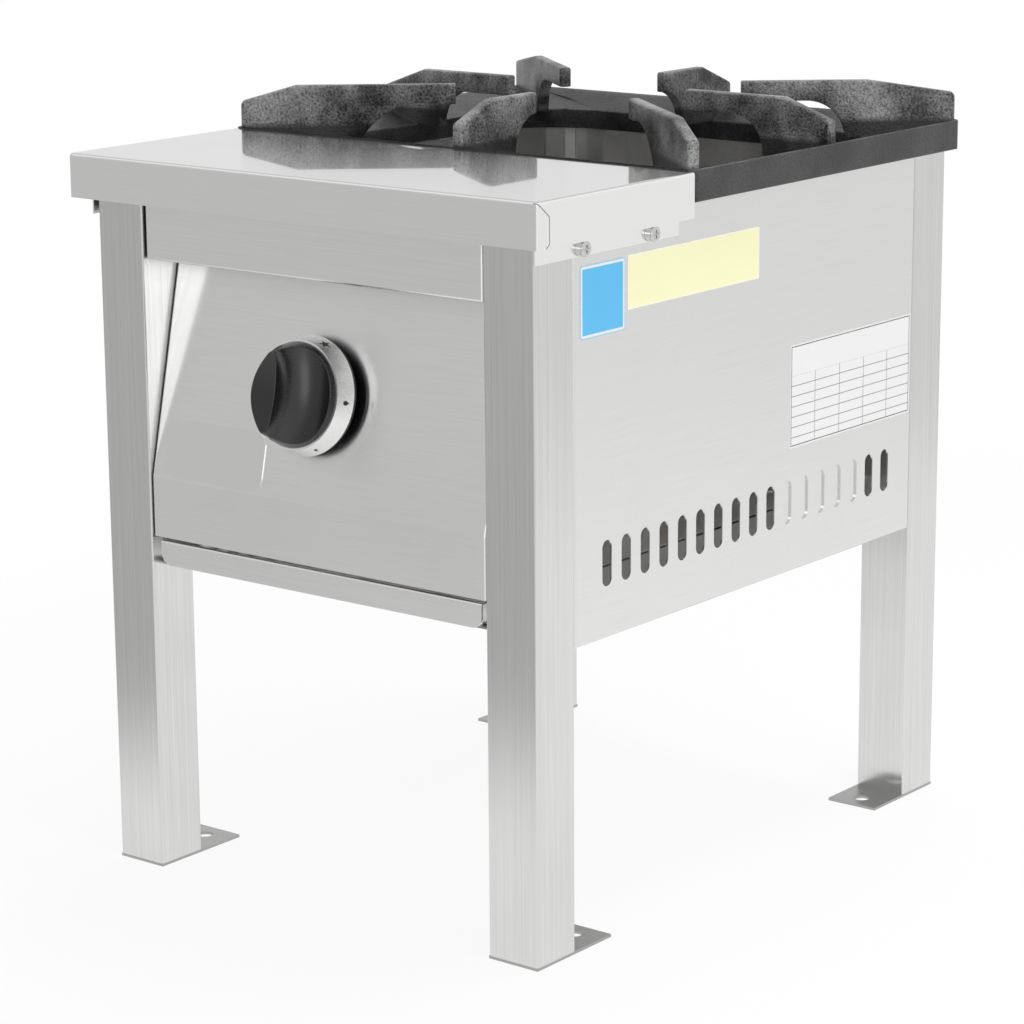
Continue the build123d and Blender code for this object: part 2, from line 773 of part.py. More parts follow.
def gas_tap():
    body = Pos(0, 0, -tap_length) * extrude(Circle(tap_diameter / 2), tap_length - sheet)
    across, tall, thick = tap_flange
    plate = RectangleRounded(across, tall, tap_flange_corner)
    body += Pos(0, 0, -sheet - thick) * extrude(plate, thick)
    body += Pos(0, 0, -tap_length - magnet_length) * extrude(Circle(magnet_diameter / 2), magnet_length)
    flats, nut_length = tap_nut
    nut = extrude(RegularPolygon(flats / 2, 6, major_radius=False), nut_length)
    body += Pos(0, 0, -tap_length - nut_length / 2) * nut
    pocket = Pos(0, 0, -pocket_depth) * extrude(Circle(washer_diameter / 2 + washer_play), pocket_depth)
    bore_end = spindle_depth + knob_push + tap_bore_spare
    bore = Pos(0, 0, -bore_end) * extrude(Circle(bore_diameter / 2), bore_end)
    for x in (-tap_screw_spacing / 2, tap_screw_spacing / 2):
        bore += Pos(x, 0, -sheet - thick) * extrude(Circle(tap_screw / 2), thick)
    body = knob_frame * body
    body += rod(on_tap(inlet_boss_depth), (-1, 0, 0), *inlet_boss)
    body += rod(on_tap(outlet_boss_depth), up_slope, *outlet_boss)
    body += rod(on_tap(pilot_boss_depth), (1, 0, 0), *pilot_boss)
    return body - knob_frame * (pocket + bore)


save(gas_tap(), "gas_tap_body")

tap_screw_length = sheet + tap_flange[2] + tap_screw_grip
tap_screws = [
    pan_screw(on_tap(0, x), into_body, tap_screw, tap_screw_head, tap_screw_head_height, tap_screw_length)
    for x in (-tap_screw_spacing / 2, tap_screw_spacing / 2)
]
save(tap_screws, "tap_screws")


# --- drip tray and its runners ---

tray_half = leg_in_x - runner_wall - tray_play
tray_front = -half_depth + tray_front_gap
tray_back = half_depth - tray_back_gap
lip_face = -half_depth + lip_set_back
lip_half = leg_in_x - lip_gap


save(
    folded_pan((-tray_half, tray_front, tray_bottom), (tray_half, tray_back, tray_top), "Z", -1, tray_wall),
    "drip_tray",
)


def tray_lip():
    """Folded strip, welded along the rim of the tray's front wall, that the tray is pulled by."""
    lip_low = tray_top - lip_height
    strip = block((-lip_half, lip_face, lip_low), (lip_half, tray_front, tray_top))
    strip = fillet(strip.edges().filter_by(Axis.X).group_by(Axis.Z)[-1].sort_by(Axis.Y)[0], bend)
    inner = block(
        (-leg_in_x, lip_face + tray_wall, lip_low - past), (leg_in_x, tray_front + past, tray_top - tray_wall)
    )
    inner_fold = inner.edges().filter_by(Axis.X).group_by(Axis.Z)[-1].sort_by(Axis.Y)[0]
    strip -= fillet(inner_fold, bend - tray_wall)
    return fillet(strip.edges().filter_by(Axis.Y).group_by(Axis.Z)[0], lip_corner)


save(tray_lip(), "tray_lip")


def runner(side):
    top = tray_bottom - runner_play
    front = -half_depth + runner_end_gap
    rear = half_depth - panel_return
    low = top - runner_wall
    upright = block((leg_in_x - runner_wall, front, low), (leg_in_x, rear, tray_top - runner_wall))
    leaf = block((leg_in_x - runner_leaf, front, low), (leg_in_x, rear, top))
    stop_y = tray_back + stop_gap
    stop = block(
        (leg_in_x - runner_leaf, stop_y, low), (leg_in_x, stop_y + runner_wall, top + stop_height)
    )
    shape = upright + leaf + stop
    return shape if side > 0 else mirror(shape, Plane.YZ)


save(runner(1), "tray_runner_right")
save(runner(-1), "tray_runner_left")


# --- pot grate ---


def ray_to_opening(across, back):
    """Distance from the burner's middle to the opening's edge, along a unit direction."""
    corner_x = opening_width / 2 - opening_corner
    corner_y = opening_depth / 2 - opening_corner
    along = abs(across) * corner_x + abs(back) * corner_y
    aside = abs(back) * corner_x - abs(across) * corner_y
    if across and back:
        return along + sqrt(opening_corner**2 - aside**2)
    return opening_width / 2 if across else opening_depth / 2


def fin_profile(kind, nose, root, end):
    """Side view of one fin, with radius from the burner's middle across and height up."""
    nose_low = pot_height - fin_nose
    arc_low = nose_low - kind["arc_fall"]
    base = seat_height + past
    flat = nose + kind["nose_flat"]
    eighth = radians(45)
    on_arc = (flat + (root - flat) * sin(eighth), nose_low - kind["arc_fall"] * (1 - cos(eighth)))
    outside = [
        (flat, nose_low),
        (nose, nose_low),
        (nose, pot_height),
        (end - kind["slope_run"], pot_height),
        (end, pot_height - kind["fall"]),
        (end, base),
        (root, base),
        (root, arc_low),
    ]
    face = make_face([Polyline(*outside), ThreePointArc((root, arc_low), on_arc, (flat, nose_low))])
    shoulder = face.vertices().filter_by(lambda v: v.X > end - past and v.Y > base + past)
    return fillet(shoulder, fin_shoulder)


def grate_fin(kind, across, back, edge):
    """Fin along a unit direction, with the grate's edge `edge` away from the burner's middle."""
    nose = cap_radius + kind["nose_gap"]
    root = ray_to_opening(across, back) - kind["root_in"]
    profile = fin_profile(kind, nose, root, edge - kind["end_gap"])
    plane = Plane(origin=(0, 0, 0), x_dir=(across, back, 0), z_dir=(back, -across, 0))
    fin = plane * extrude(profile, fin_thick / 2, both=True)
    high = fin.edges().filter_by(lambda e: e.center().Z > pot_height - fin_nose)
    long = high.filter_by(lambda e: e.geom_type == GeomType.LINE and e.length > fin_thick + sheet)
    return chamfer(long, fin_edge)


def grate_fins():
    corner = sqrt(plate_half**2 + half_grate**2)
    for way in (-1, 1):
        yield grate_fin(side_fin, way, 0, plate_half)
        yield grate_fin(middle_fin, 0, way, half_grate)
        yield grate_fin(front_fin, way * plate_half / corner, -half_grate / corner, corner)
        yield grate_fin(rear_fin, way * plate_half / corner, half_grate / corner, corner)


def pot_grate():
    outline = RectangleRounded(2 * plate_half, grate_depth, rim_corner)
    rim_top = top_height + rim_top_rise
    opening_top = rim_top - rim_fall
    skirt_low = opening_top - skirt_depth
    apron_low = seat_height - apron_drop
    opening = RectangleRounded(opening_width, opening_depth, opening_corner)
    inside_corner = rim_corner - rim_land
    rim_inside = RectangleRounded(2 * (plate_half - rim_land), grate_depth - 2 * rim_land, inside_corner)
    dish = loft([Pos(0, 0, opening_top) * opening, Pos(0, 0, rim_top) * rim_inside], ruled=True)
    casting = Pos(0, 0, seat_height) * extrude(outline, rim_top - seat_height) - dish
    casting += Pos(0, 0, skirt_low) * extrude(offset(opening, skirt_wall), skirt_depth - past)
    apron = outline - Rectangle(2 * (plate_half - apron_wall), 2 * grate_depth)
    casting += Pos(0, 0, apron_low) * extrude(apron, apron_drop + past)
    for side in (-1, 1):
        for y in (-lug_half_spacing, lug_half_spacing):
            lug = block(
                (half_width + lug_play, y - lug_width / 2, apron_low),
                (plate_half - apron_wall + past, y + lug_width / 2, seat_height + past),
            )
            casting += lug if side > 0 else mirror(lug, Plane.YZ)
    casting -= Pos(0, 0, skirt_low - past) * extrude(opening, pot_rise)
    inside_edge = Pos(0, 0, seat_height) * extrude(Rectangle(2 * plate_half, grate_depth), 2 * pot_rise)
    for fin in grate_fins():
        casting += fin & inside_edge
    return Pos(0, burner_y, 0) * casting


save(pot_grate(), "pot_grate")


# --- burner ---


def pillar_places():
    across, along = pillar_spacing
    return [(x, y) for x in (-across / 2, across / 2) for y in (-along / 2, along / 2)]


def burner_body():
    mouth = cap_radius - cap_wall + cap_play
    lip_start = bowl_height - bowl_wall - bowl_lip
    bowl = rod((0, 0, bowl_bottom), (0, 0, 1), 2 * bowl_radius, bowl_height)
    bowl = fillet(bowl.edges().sort_by(Axis.Z)[0], bowl_foot_round)
    bowl = fillet(bowl.edges().sort_by(Axis.Z)[-1], bowl_lip_round)
    for x, y in pillar_places():
        bowl += rod((x, y, bridge_top), (0, 0, 1), pillar_diameter, pillar_height + bowl_wall)
    bowl += rod((0, 0, tube_z), (0, -1, 0), 2 * (mixing_radius + mixing_wall), tube_reach)
    across, tall, thick = tube_flange
    plate = Plane(origin=(0, -tube_reach, tube_z), z_dir=(0, 1, 0), x_dir=(1, 0, 0))
    bowl += plate * extrude(RectangleRounded(across, tall, tube_flange_corner), thick)
    boss_width, boss_drop = bracket_boss
    bowl += pilot_frame * block(
        (0, -boss_width / 2, shelf_z - bracket_height), (bracket_face, boss_width / 2, shelf_z - boss_drop)
    )
    # Inside: the full width up to the lip, then the narrower mouth that locates the cap.
    bowl -= rod((0, 0, bowl_bottom + bowl_wall), (0, 0, 1), 2 * (bowl_radius - bowl_wall), lip_start)
    bowl -= rod((0, 0, bowl_bottom + bowl_wall), (0, 0, 1), 2 * mouth, bowl_height)
    bowl -= rod((0, 0, tube_z), (0, -1, 0), 2 * mixing_radius, tube_reach + past)
    for z in (-tube_bolt_spacing / 2, tube_bolt_spacing / 2):
        bowl -= rod((0, -tube_reach - past, tube_z + z), (0, 1, 0), tube_bolt, thick + 2 * past)
    for x, y in pillar_places():
        bowl -= rod((x, y, bridge_top - past), (0, 0, 1), bolt_diameter, bolt_depth + bolt_spare + past)
    return Pos(0, burner_y, 0) * bowl


pilot_frame = Rot(0, 0, pilot_angle)
save(burner_body(), "burner_body")


def burner_cap():
    side_height = cap_height - cap_crown
    crown_radius = (cap_radius**2 + cap_crown**2) / (2 * cap_crown)
    dome = Pos(0, 0, cap_height - crown_radius) * Sphere(crown_radius)
    cap = rod((0, 0, 0), (0, 0, 1), 2 * cap_radius, cap_height) & dome
    cap += rod((0, 0, -cap_spigot), (0, 0, 1), 2 * (cap_radius - cap_wall), cap_spigot + past)
    hollow = cap_radius - 2 * cap_wall
    cap -= rod((0, 0, -cap_spigot - past), (0, 0, 1), 2 * hollow, cap_spigot + past + side_height - cap_wall)
    port = block(
        (hollow - cap_wall, -port_width / 2, port_low),
        (2 * cap_radius, port_width / 2, port_low + port_height),
    )
    for i in range(port_count):
        cap -= Rot(0, 0, i * 360 / port_count) * port
    return Pos(0, burner_y, cap_seat) * cap


save(burner_cap(), "burner_cap")

tab_bottom = slot_z - slot_height / 2 - bridge_tab_lap
bridge_middle = burner_y + bridge_shift
bridge_out = half_width - sheet
bridge = block(
    (-bridge_out, bridge_middle - bridge_length / 2, tab_bottom),
    (bridge_out, bridge_middle + bridge_length / 2, bridge_top),
)
bridge_edges = bridge.faces().sort_by(Axis.Z)[-1].edges().filter_by(Axis.Y)
bridge = fillet(bridge_edges, 2 * bridge_thick)
under_bridge = block(
    (-bridge_out + bridge_thick, bridge_middle - bridge_length, tab_bottom - past),
    (bridge_out - bridge_thick, bridge_middle + bridge_length, bridge_top - bridge_thick),
)
under_edges = under_bridge.faces().sort_by(Axis.Z)[-1].edges().filter_by(Axis.Y)
bridge -= fillet(under_edges, bridge_thick)
burner_bolts = []
for x, y in pillar_places():
    under = (x, burner_y + y, under_bridge_z)
    bridge -= rod(under, (0, 0, 1), bolt_diameter + 2 * bolt_play, bridge_thick)
    bolt = rod(under, (0, 0, 1), bolt_diameter, bridge_thick + bolt_depth)
    burner_bolts.append(hex_bar(under, (0, 0, -1), *bolt_head) + bolt)
save(bridge, "burner_bridge")
save(burner_bolts, "burner_bolts")


# --- mixing tube, air shutter, injector, holder and arm ---

flange_y = burner_y - tube_reach
mouth_y = flange_y - mixing_length
tip_y = mouth_y - injector_gap
neck_end_y = tip_y - injector_length
arm_back_y = neck_end_y - neck_length
arm_front_y = arm_back_y - arm_thick
holder_front_y = arm_front_y - holder_size[1]


def mixing_tube():
    span = mixing_length
    inner = [(0, mixing_radius), (throat_start * span, throat_radius), (throat_end * span, throat_radius)]
    on_mouth = (mouth_middle * span, (throat_radius + mouth_radius) / 2 - mouth_sag)
    mouth = (span, mouth_radius)

    def outside(point):
        return (point[0], point[1] + mixing_wall)

    outline = make_face(
        [
            Polyline(*inner),
            ThreePointArc(inner[-1], on_mouth, mouth),
            Line(mouth, outside(mouth)),
            ThreePointArc(outside(mouth), outside(on_mouth), outside(inner[-1])),
            Polyline(*[outside(point) for point in inner[::-1]]),
            Line(outside(inner[0]), inner[0]),
        ]
    )
    tube = revolve(outline, Axis.X, 360)
    across, tall, thick = tube_flange
    plate = Plane(origin=(0, 0, 0), z_dir=(1, 0, 0), x_dir=(0, 1, 0))
    flange = RectangleRounded(across, tall, tube_flange_corner) - Circle(mixing_radius)
    for z in (-tube_bolt_spacing / 2, tube_bolt_spacing / 2):
        flange -= Pos(0, z) * Circle(tube_bolt / 2)
    tube += plate * extrude(flange, thick)
    return Plane(origin=(0, flange_y, tube_z), x_dir=(0, -1, 0), z_dir=(0, 0, 1)) * tube


save(mixing_tube(), "mixing_tube")

tube_bolts = []
flats, head_height = tube_bolt_head
for z in (-tube_bolt_spacing / 2, tube_bolt_spacing / 2):
    start = (0, flange_y - tube_flange[2], tube_z + z)
    shank = rod(start, (0, 1, 0), tube_bolt, 2 * tube_flange[2] + tube_bolt_nut)
    nut = hex_bar((0, flange_y + tube_flange[2], tube_z + z), (0, 1, 0), flats, tube_bolt_nut)
    tube_bolts.append(hex_bar(start, (0, -1, 0), flats, head_height) + shank)
    tube_bolts.append(nut - shank)
save(tube_bolts, "mixing_tube_bolts")

injector = hex_bar((0, neck_end_y, tube_z), (0, 1, 0), injector_flats, injector_length)
tip = Plane(origin=(0, tip_y, tube_z), z_dir=(0, -1, 0))
nose_cut = loft([tip * Circle(injector_tip), tip.offset(injector_nose) * Circle(injector_flats / sqrt(3))])
nose_keep = tip * extrude(Circle(injector_flats), injector_nose)
injector -= nose_keep - nose_cut
injector -= rod((0, neck_end_y - past, tube_z), (0, 1, 0), injector_bore, injector_length + 2 * past)
save(injector, "injector")

width, deep, tall = holder_size
holder = block(
    (-width / 2, holder_front_y, tube_z - tall / 2), (width / 2, arm_front_y, tube_z + tall / 2)
)
holder += rod((0, arm_front_y, tube_z), (0, 1, 0), neck_diameter, arm_thick + neck_length)
holder_middle_y = (holder_front_y + arm_front_y) / 2
feed_bore = feed_diameter - 2 * feed_wall
way_in = neck_length + arm_thick + deep / 2
holder -= rod((0, neck_end_y + past, tube_z), (0, -1, 0), feed_bore, way_in + past)
holder -= rod((0, holder_middle_y, tube_z - tall / 2 - past), (0, 0, 1), feed_bore, tall / 2 + past)
save(holder, "injector_holder")

arm_rear_y = bridge_middle - bridge_length / 2 + arm_lap
arm = block((-arm_width / 2, arm_front_y, bridge_top), (arm_width / 2, arm_rear_y, bridge_top + arm_thick))
arm += block(
    (-arm_width / 2, arm_front_y, bridge_top),
    (arm_width / 2, arm_back_y, tube_z + tall / 2),
)
arm -= rod((0, arm_front_y - past, tube_z), (0, 1, 0), neck_diameter, arm_thick + 2 * past)
save(arm, "injector_arm")

# The disc slides on the holder's neck and closes on the mouth of the mixing tube.
shutter_y = neck_end_y - shutter_thick - shutter_set_back
shutter_bore = neck_diameter + 2 * shutter_play
hub_diameter = shutter_bore + 2 * shutter_hub_wall
hub_front_y = shutter_y + shutter_thick - shutter_hub
shutter = rod((0, shutter_y, tube_z), (0, 1, 0), 2 * shutter_radius, shutter_thick)
shutter += rod((0, hub_front_y, tube_z), (0, 1, 0), hub_diameter, shutter_hub)
shutter -= rod((0, hub_front_y - past, tube_z), (0, 1, 0), shutter_bore, shutter_hub + 2 * past)
screw_y = (hub_front_y + shutter_y) / 2
shutter -= rod((0, screw_y, tube_z), (0, 0, 1), shutter_screw, hub_diameter)
save(shutter, "air_shutter")
screw_low = tube_z + shutter_bore / 2 + shutter_screw_gap
screw_head, head_height = shutter_screw_head
shutter_bolt = rod((0, screw_y, screw_low), (0, 0, 1), shutter_screw, shutter_screw_length)
head_low = screw_low + shutter_screw_length - head_height
shutter_bolt += rod((0, screw_y, head_low), (0, 0, 1), screw_head, head_height)
save(shutter_bolt, "air_shutter_screw")


# --- gas pipes ---


def union_nut(start, direction, flats, length, bore):
    return hex_bar(start, direction, flats, length) - rod(start, direction, bore, length)


supply_start = on_tap(inlet_boss_depth, -inlet_boss[1])
supply_end = (inlet_across, inlet_start[1], inlet_height)
supply_points = [
    supply_start,
    (inlet_across, supply_start.Y, supply_start.Z),
    (inlet_across, supply_start.Y + supply_climb, inlet_height),
    supply_end,
]
supply_points = [tuple(Vector(p)) for p in supply_points]
supply = bent_tube("supply_pipe", supply_points, [supply_bend, supply_bend], supply_diameter, supply_wall)
save(supply, "supply_pipe")
save(
    [
        union_nut(supply_points[0], (-1, 0, 0), supply_flats, supply_nut, supply_diameter),
        union_nut(supply_points[-1], (0, -1, 0), supply_flats, supply_nut, supply_diameter),
    ],
    "supply_pipe_nuts",
)

inlet = rod(inlet_start, (0, 1, 0), inlet_thread, inlet_inside + sheet + inlet_reach)
inlet += rod(inlet_start, (0, 1, 0), inlet_shank, inlet_inside + sheet + inlet_nut)
inlet += hex_bar(inlet_start, (0, 1, 0), inlet_flats, inlet_inside)
inlet -= rod(inlet_start, (0, 1, 0), inlet_bore, inlet_inside + sheet + inlet_reach)
save(inlet, "gas_inlet_fitting")
locknut_start = (inlet_across, half_depth, inlet_height)
save(union_nut(locknut_start, (0, 1, 0), inlet_flats, inlet_nut, inlet_shank), "inlet_locknut")

feed_start = on_tap(outlet_boss_depth, 0, outlet_boss[1])
feed_low = tube_z - holder_size[2] / 2
feed_points = [
    feed_start,
    feed_start + up_slope * (feed_nut + feed_straight),
    Vector(0, holder_middle_y, feed_low - feed_nut - feed_straight),
    Vector(0, holder_middle_y, feed_low),
]
feed_points = [tuple(p) for p in feed_points]
feed = bent_tube("feed_pipe", feed_points, [feed_bend, feed_bend], feed_diameter, feed_wall)
save(feed, "feed_pipe")
save(
    [
        union_nut(feed_points[0], up_slope, feed_flats, feed_nut, feed_diameter),
        union_nut(feed_points[-1], (0, 0, -1), feed_flats, feed_nut, feed_diameter),
    ],
    "feed_pipe_nuts",
)

# Saddle clip that hangs the supply pipe under the bridge.
clip_front = burner_y - clip_width / 2
clip_back = burner_y + clip_width / 2
clip_outer = supply_diameter + 2 * clip_wall
clip = block(
    (inlet_across - clip_outer / 2, clip_front, inlet_height),
    (inlet_across + clip_outer / 2, clip_back, under_bridge_z),
)
clip += rod((inlet_across, clip_front, inlet_height), (0, 1, 0), clip_outer, clip_width)
clip += block(
    (inlet_across - clip_outer, clip_front, under_bridge_z - clip_wall),
    (inlet_across + clip_outer, clip_back, under_bridge_z),
)
clip_cut = clip_width + 2 * past
clip -= rod((inlet_across, clip_front - past, inlet_height), (0, 1, 0), supply_diameter, clip_cut)
save(clip, "pipe_clip")


# --- pilot burner and thermocouple ---


def round_burner(radius, across, z):
    """Point at the pilot's place: out from the burner's middle, and across."""
    spot = (pilot_frame * Pos(radius, across, z)).position
    return Vector(spot.X, spot.Y + burner_y, spot.Z)


pilot_spot = round_burner(pilot_radius, -pilot_spread / 2, shelf_z)
probe_spot = round_burner(pilot_radius, pilot_spread / 2, shelf_z)

bracket = block(
    (bracket_face, -shelf_size[1] / 2, shelf_z - bracket_height),
    (bracket_face + shelf_thick, shelf_size[1] / 2, shelf_z),
)
bracket += block(
    (bracket_face, -shelf_size[1] / 2, shelf_z - shelf_thick),
    (bracket_face + shelf_size[0], shelf_size[1] / 2, shelf_z),
)
for across, hole in ((-pilot_spread / 2, pilot_stem), (pilot_spread / 2, probe_stem)):
    under_shelf = (pilot_radius, across, shelf_z - shelf_thick - past)
    bracket -= rod(under_shelf, (0, 0, 1), hole, shelf_thick + 2 * past)
save(Pos(0, burner_y, 0) * (pilot_frame * bracket), "pilot_bracket")

hood_z = pilot_spot.Z + pilot_rise - pilot_hood
pilot = rod(pilot_spot, (0, 0, 1), pilot_diameter, pilot_rise)
pilot += rod(pilot_spot, (0, 0, -1), pilot_stem, pilot_nut)
pilot -= rod((pilot_spot.X, pilot_spot.Y, hood_z), (0, 0, 1), pilot_stem, pilot_hood + past)
to_burner = Vector(0, burner_y, pilot_spot.Z) - pilot_spot
window = (pilot_spot.X, pilot_spot.Y, hood_z + pilot_hood / 2)
pilot -= rod(window, to_burner, pilot_hood - 2 * past, pilot_diameter)
save(pilot, "pilot_burner")

probe = rod(probe_spot, (0, 0, 1), probe_diameter, probe_length)
probe += rod(probe_spot, (0, 0, 1), probe_thread, probe_thread_length)
probe += rod(probe_spot, (0, 0, -1), probe_stem, pilot_nut)
save(fillet(probe.edges().sort_by(Axis.Z)[-1], probe_tip_round), "thermocouple_probe")

lead_end = on_tap(tap_length + magnet_length)
lead_points = [
    tuple(probe_spot - Vector(0, 0, pilot_nut)),
    tuple(probe_spot - Vector(0, 0, pilot_nut + lead_straight)),
    (60.0, -33.0, bridge_top + 7),
    (28.0, -77.0, bridge_top - 17),
    tuple(lead_end + into_body * lead_straight),
    tuple(lead_end),
]
lead = bent_tube("thermocouple_lead", lead_points, even_radii(lead_points), lead_diameter)
save(lead, "thermocouple_lead")

tube_start = on_tap(pilot_boss_depth, pilot_boss[1])
pilot_points = [
    tuple(tube_start),
    tuple(tube_start + Vector(pilot_tube_straight, 0, 0)),
    (46.0, -146.0, bridge_top + 1),
    (55.0, -100.0, bridge_top + 9),
    (57.0, -52.0, bridge_top + 23),
    tuple(pilot_spot - Vector(0, 0, pilot_nut + lead_straight)),
    tuple(pilot_spot - Vector(0, 0, pilot_nut)),
]
pilot_tube = bent_tube("pilot_tube", pilot_points, even_radii(pilot_points), pilot_tube_diameter)
save(pilot_tube, "pilot_tube")
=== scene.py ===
import json
import math
import bpy
from mathutils import Matrix, Vector


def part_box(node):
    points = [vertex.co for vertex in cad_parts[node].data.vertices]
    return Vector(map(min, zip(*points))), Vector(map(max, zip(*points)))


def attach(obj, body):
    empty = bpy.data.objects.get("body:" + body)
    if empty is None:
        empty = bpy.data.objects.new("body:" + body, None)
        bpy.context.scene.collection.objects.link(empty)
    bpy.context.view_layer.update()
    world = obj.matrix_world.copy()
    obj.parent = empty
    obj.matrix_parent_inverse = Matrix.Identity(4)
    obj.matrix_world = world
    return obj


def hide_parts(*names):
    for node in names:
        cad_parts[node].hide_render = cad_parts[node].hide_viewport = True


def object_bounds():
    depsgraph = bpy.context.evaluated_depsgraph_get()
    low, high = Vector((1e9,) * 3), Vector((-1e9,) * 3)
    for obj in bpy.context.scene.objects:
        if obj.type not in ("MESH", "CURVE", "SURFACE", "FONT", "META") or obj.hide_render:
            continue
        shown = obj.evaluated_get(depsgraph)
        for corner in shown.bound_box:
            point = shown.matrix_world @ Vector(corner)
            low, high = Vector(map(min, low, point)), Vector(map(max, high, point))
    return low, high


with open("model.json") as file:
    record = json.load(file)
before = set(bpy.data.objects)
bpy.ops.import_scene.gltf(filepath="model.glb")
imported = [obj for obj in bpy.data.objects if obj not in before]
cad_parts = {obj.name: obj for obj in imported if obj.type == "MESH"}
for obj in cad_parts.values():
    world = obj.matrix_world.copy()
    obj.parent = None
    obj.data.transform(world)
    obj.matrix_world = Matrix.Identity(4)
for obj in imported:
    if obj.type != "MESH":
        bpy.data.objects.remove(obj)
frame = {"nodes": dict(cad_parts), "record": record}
nodes = frame["nodes"]
cadBox = [list(corner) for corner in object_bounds()]
print("frame loaded:", len(nodes), "CAD nodes")

millimetre = 0.001


def linearColour(code):
    # sRGB hex to the linear values that the shaders take
    values = [int(code[i:i + 2], 16) / 255 for i in (1, 3, 5)]
    return [v / 12.92 if v <= 0.04045 else ((v + 0.055) / 1.055) ** 2.4 for v in values] + [1.0]


def addNode(tree, kind, inputs=None, **settings):
    node = tree.nodes.new(kind)
    for name, value in settings.items():
        setattr(node, name, value)
    for socket, value in (inputs or {}).items():
        if isinstance(value, bpy.types.NodeSocket):
            tree.links.new(value, node.inputs[socket])
        else:
            node.inputs[socket].default_value = value
    return node


def newMaterial(name):
    material = bpy.data.materials.new(name)
    material.use_nodes = True
    material.node_tree.nodes.clear()
    return material, material.node_tree


def finishMaterial(tree, shader):
    addNode(tree, "ShaderNodeOutputMaterial", {"Surface": shader.outputs[0]})


def deselect():
    if bpy.context.mode != "OBJECT":
        bpy.ops.object.mode_set(mode="OBJECT")
    bpy.ops.object.select_all(action="DESELECT")


def pickCorners(piece, wanted):
    # leaves edit mode on, with just the wanted corners selected
    bpy.ops.object.mode_set(mode="EDIT")
    bpy.ops.mesh.select_mode(type="VERT")
    bpy.ops.mesh.select_all(action="DESELECT")
    bpy.ops.object.mode_set(mode="OBJECT")
    for corner in piece.data.vertices:
        corner.select = wanted(corner)
    bpy.ops.object.mode_set(mode="EDIT")


def bake(piece):
    # a finished piece sits at the origin, unturned, with its place in its mesh
    deselect()
    piece.select_set(True)
    bpy.context.view_layer.objects.active = piece
    bpy.ops.object.transform_apply(location=True, rotation=True, scale=True)


def paint(piece, *materials):
    piece.data.materials.clear()
    for material in materials:
        piece.data.materials.append(material)


photo = {
    # the camera that took the photograph, solved from the object's corners in it
    "pixels": 1024,
    "azimuth": math.radians(38.30),
    "elevation": math.radians(13.56),
    "roll": math.radians(-0.44),
    "focal": 3347.49,  # in pixels of the photograph
    "sensor": 36.0,
    "target": Vector((0.01591, -0.04832, 0.24191)),
    "distance": 2.3427,
    "farthest": 20,
}


def aimCamera():
    a, e, r = photo["azimuth"], photo["elevation"], photo["roll"]
    back = Vector((math.sin(a) * math.cos(e), -math.cos(a) * math.cos(e), math.sin(e)))
    level = Vector((math.cos(a), math.sin(a), 0))
    upright = back.cross(level)
    right = math.cos(r) * level + math.sin(r) * upright
    up = -math.sin(r) * level + math.cos(r) * upright
    lens = bpy.data.cameras.new("photoCamera")
    lens.sensor_width = photo["sensor"]
    lens.lens = photo["focal"] * photo["sensor"] / photo["pixels"]
    lens.clip_end = photo["farthest"]
    camera = bpy.data.objects.new("photoCamera", lens)
    bpy.context.scene.collection.objects.link(camera)
    turn = Matrix((right, up, back)).transposed().to_4x4()
    camera.matrix_world = Matrix.Translation(photo["target"] + photo["distance"] * back) @ turn
    bpy.context.scene.camera = camera


aimCamera()
print("camera in place")

studio = {
    "floorMiddle": Vector((0.30, 0.38, 0.0)),  # the sweep lies mostly behind the object
    "floorRadius": 1.32,
    "floorClear": 0.85,  # the paper is solid out to here, then fades into the backdrop
    "floorFaded": 0.97,  # share of the radius at which it is gone
    "paperColour": "#F6F6F6",
    "paperGlow": 0.88,  # share of plain white that the camera and the metal see in the paper
    "ambient": 0.55,
    "roomDim": 0.53,  # the unlit side of the studio, as the metal sees it
    "dimSide": Vector((-0.62, -0.78, 0.0)).normalized(),
    # the two ends of each change, as cosines from the dim side and as sines of the height
    "roundFrom": {"From Min": 0.15, "From Max": 0.85},
    "dimBelow": {"From Min": 0.05, "From Max": 0.85, "To Min": 1.0, "To Max": 0.0},
    "whiteSide": {"From Min": -0.05, "From Max": 0.45, "To Min": 0.86, "To Max": 0.95},
}


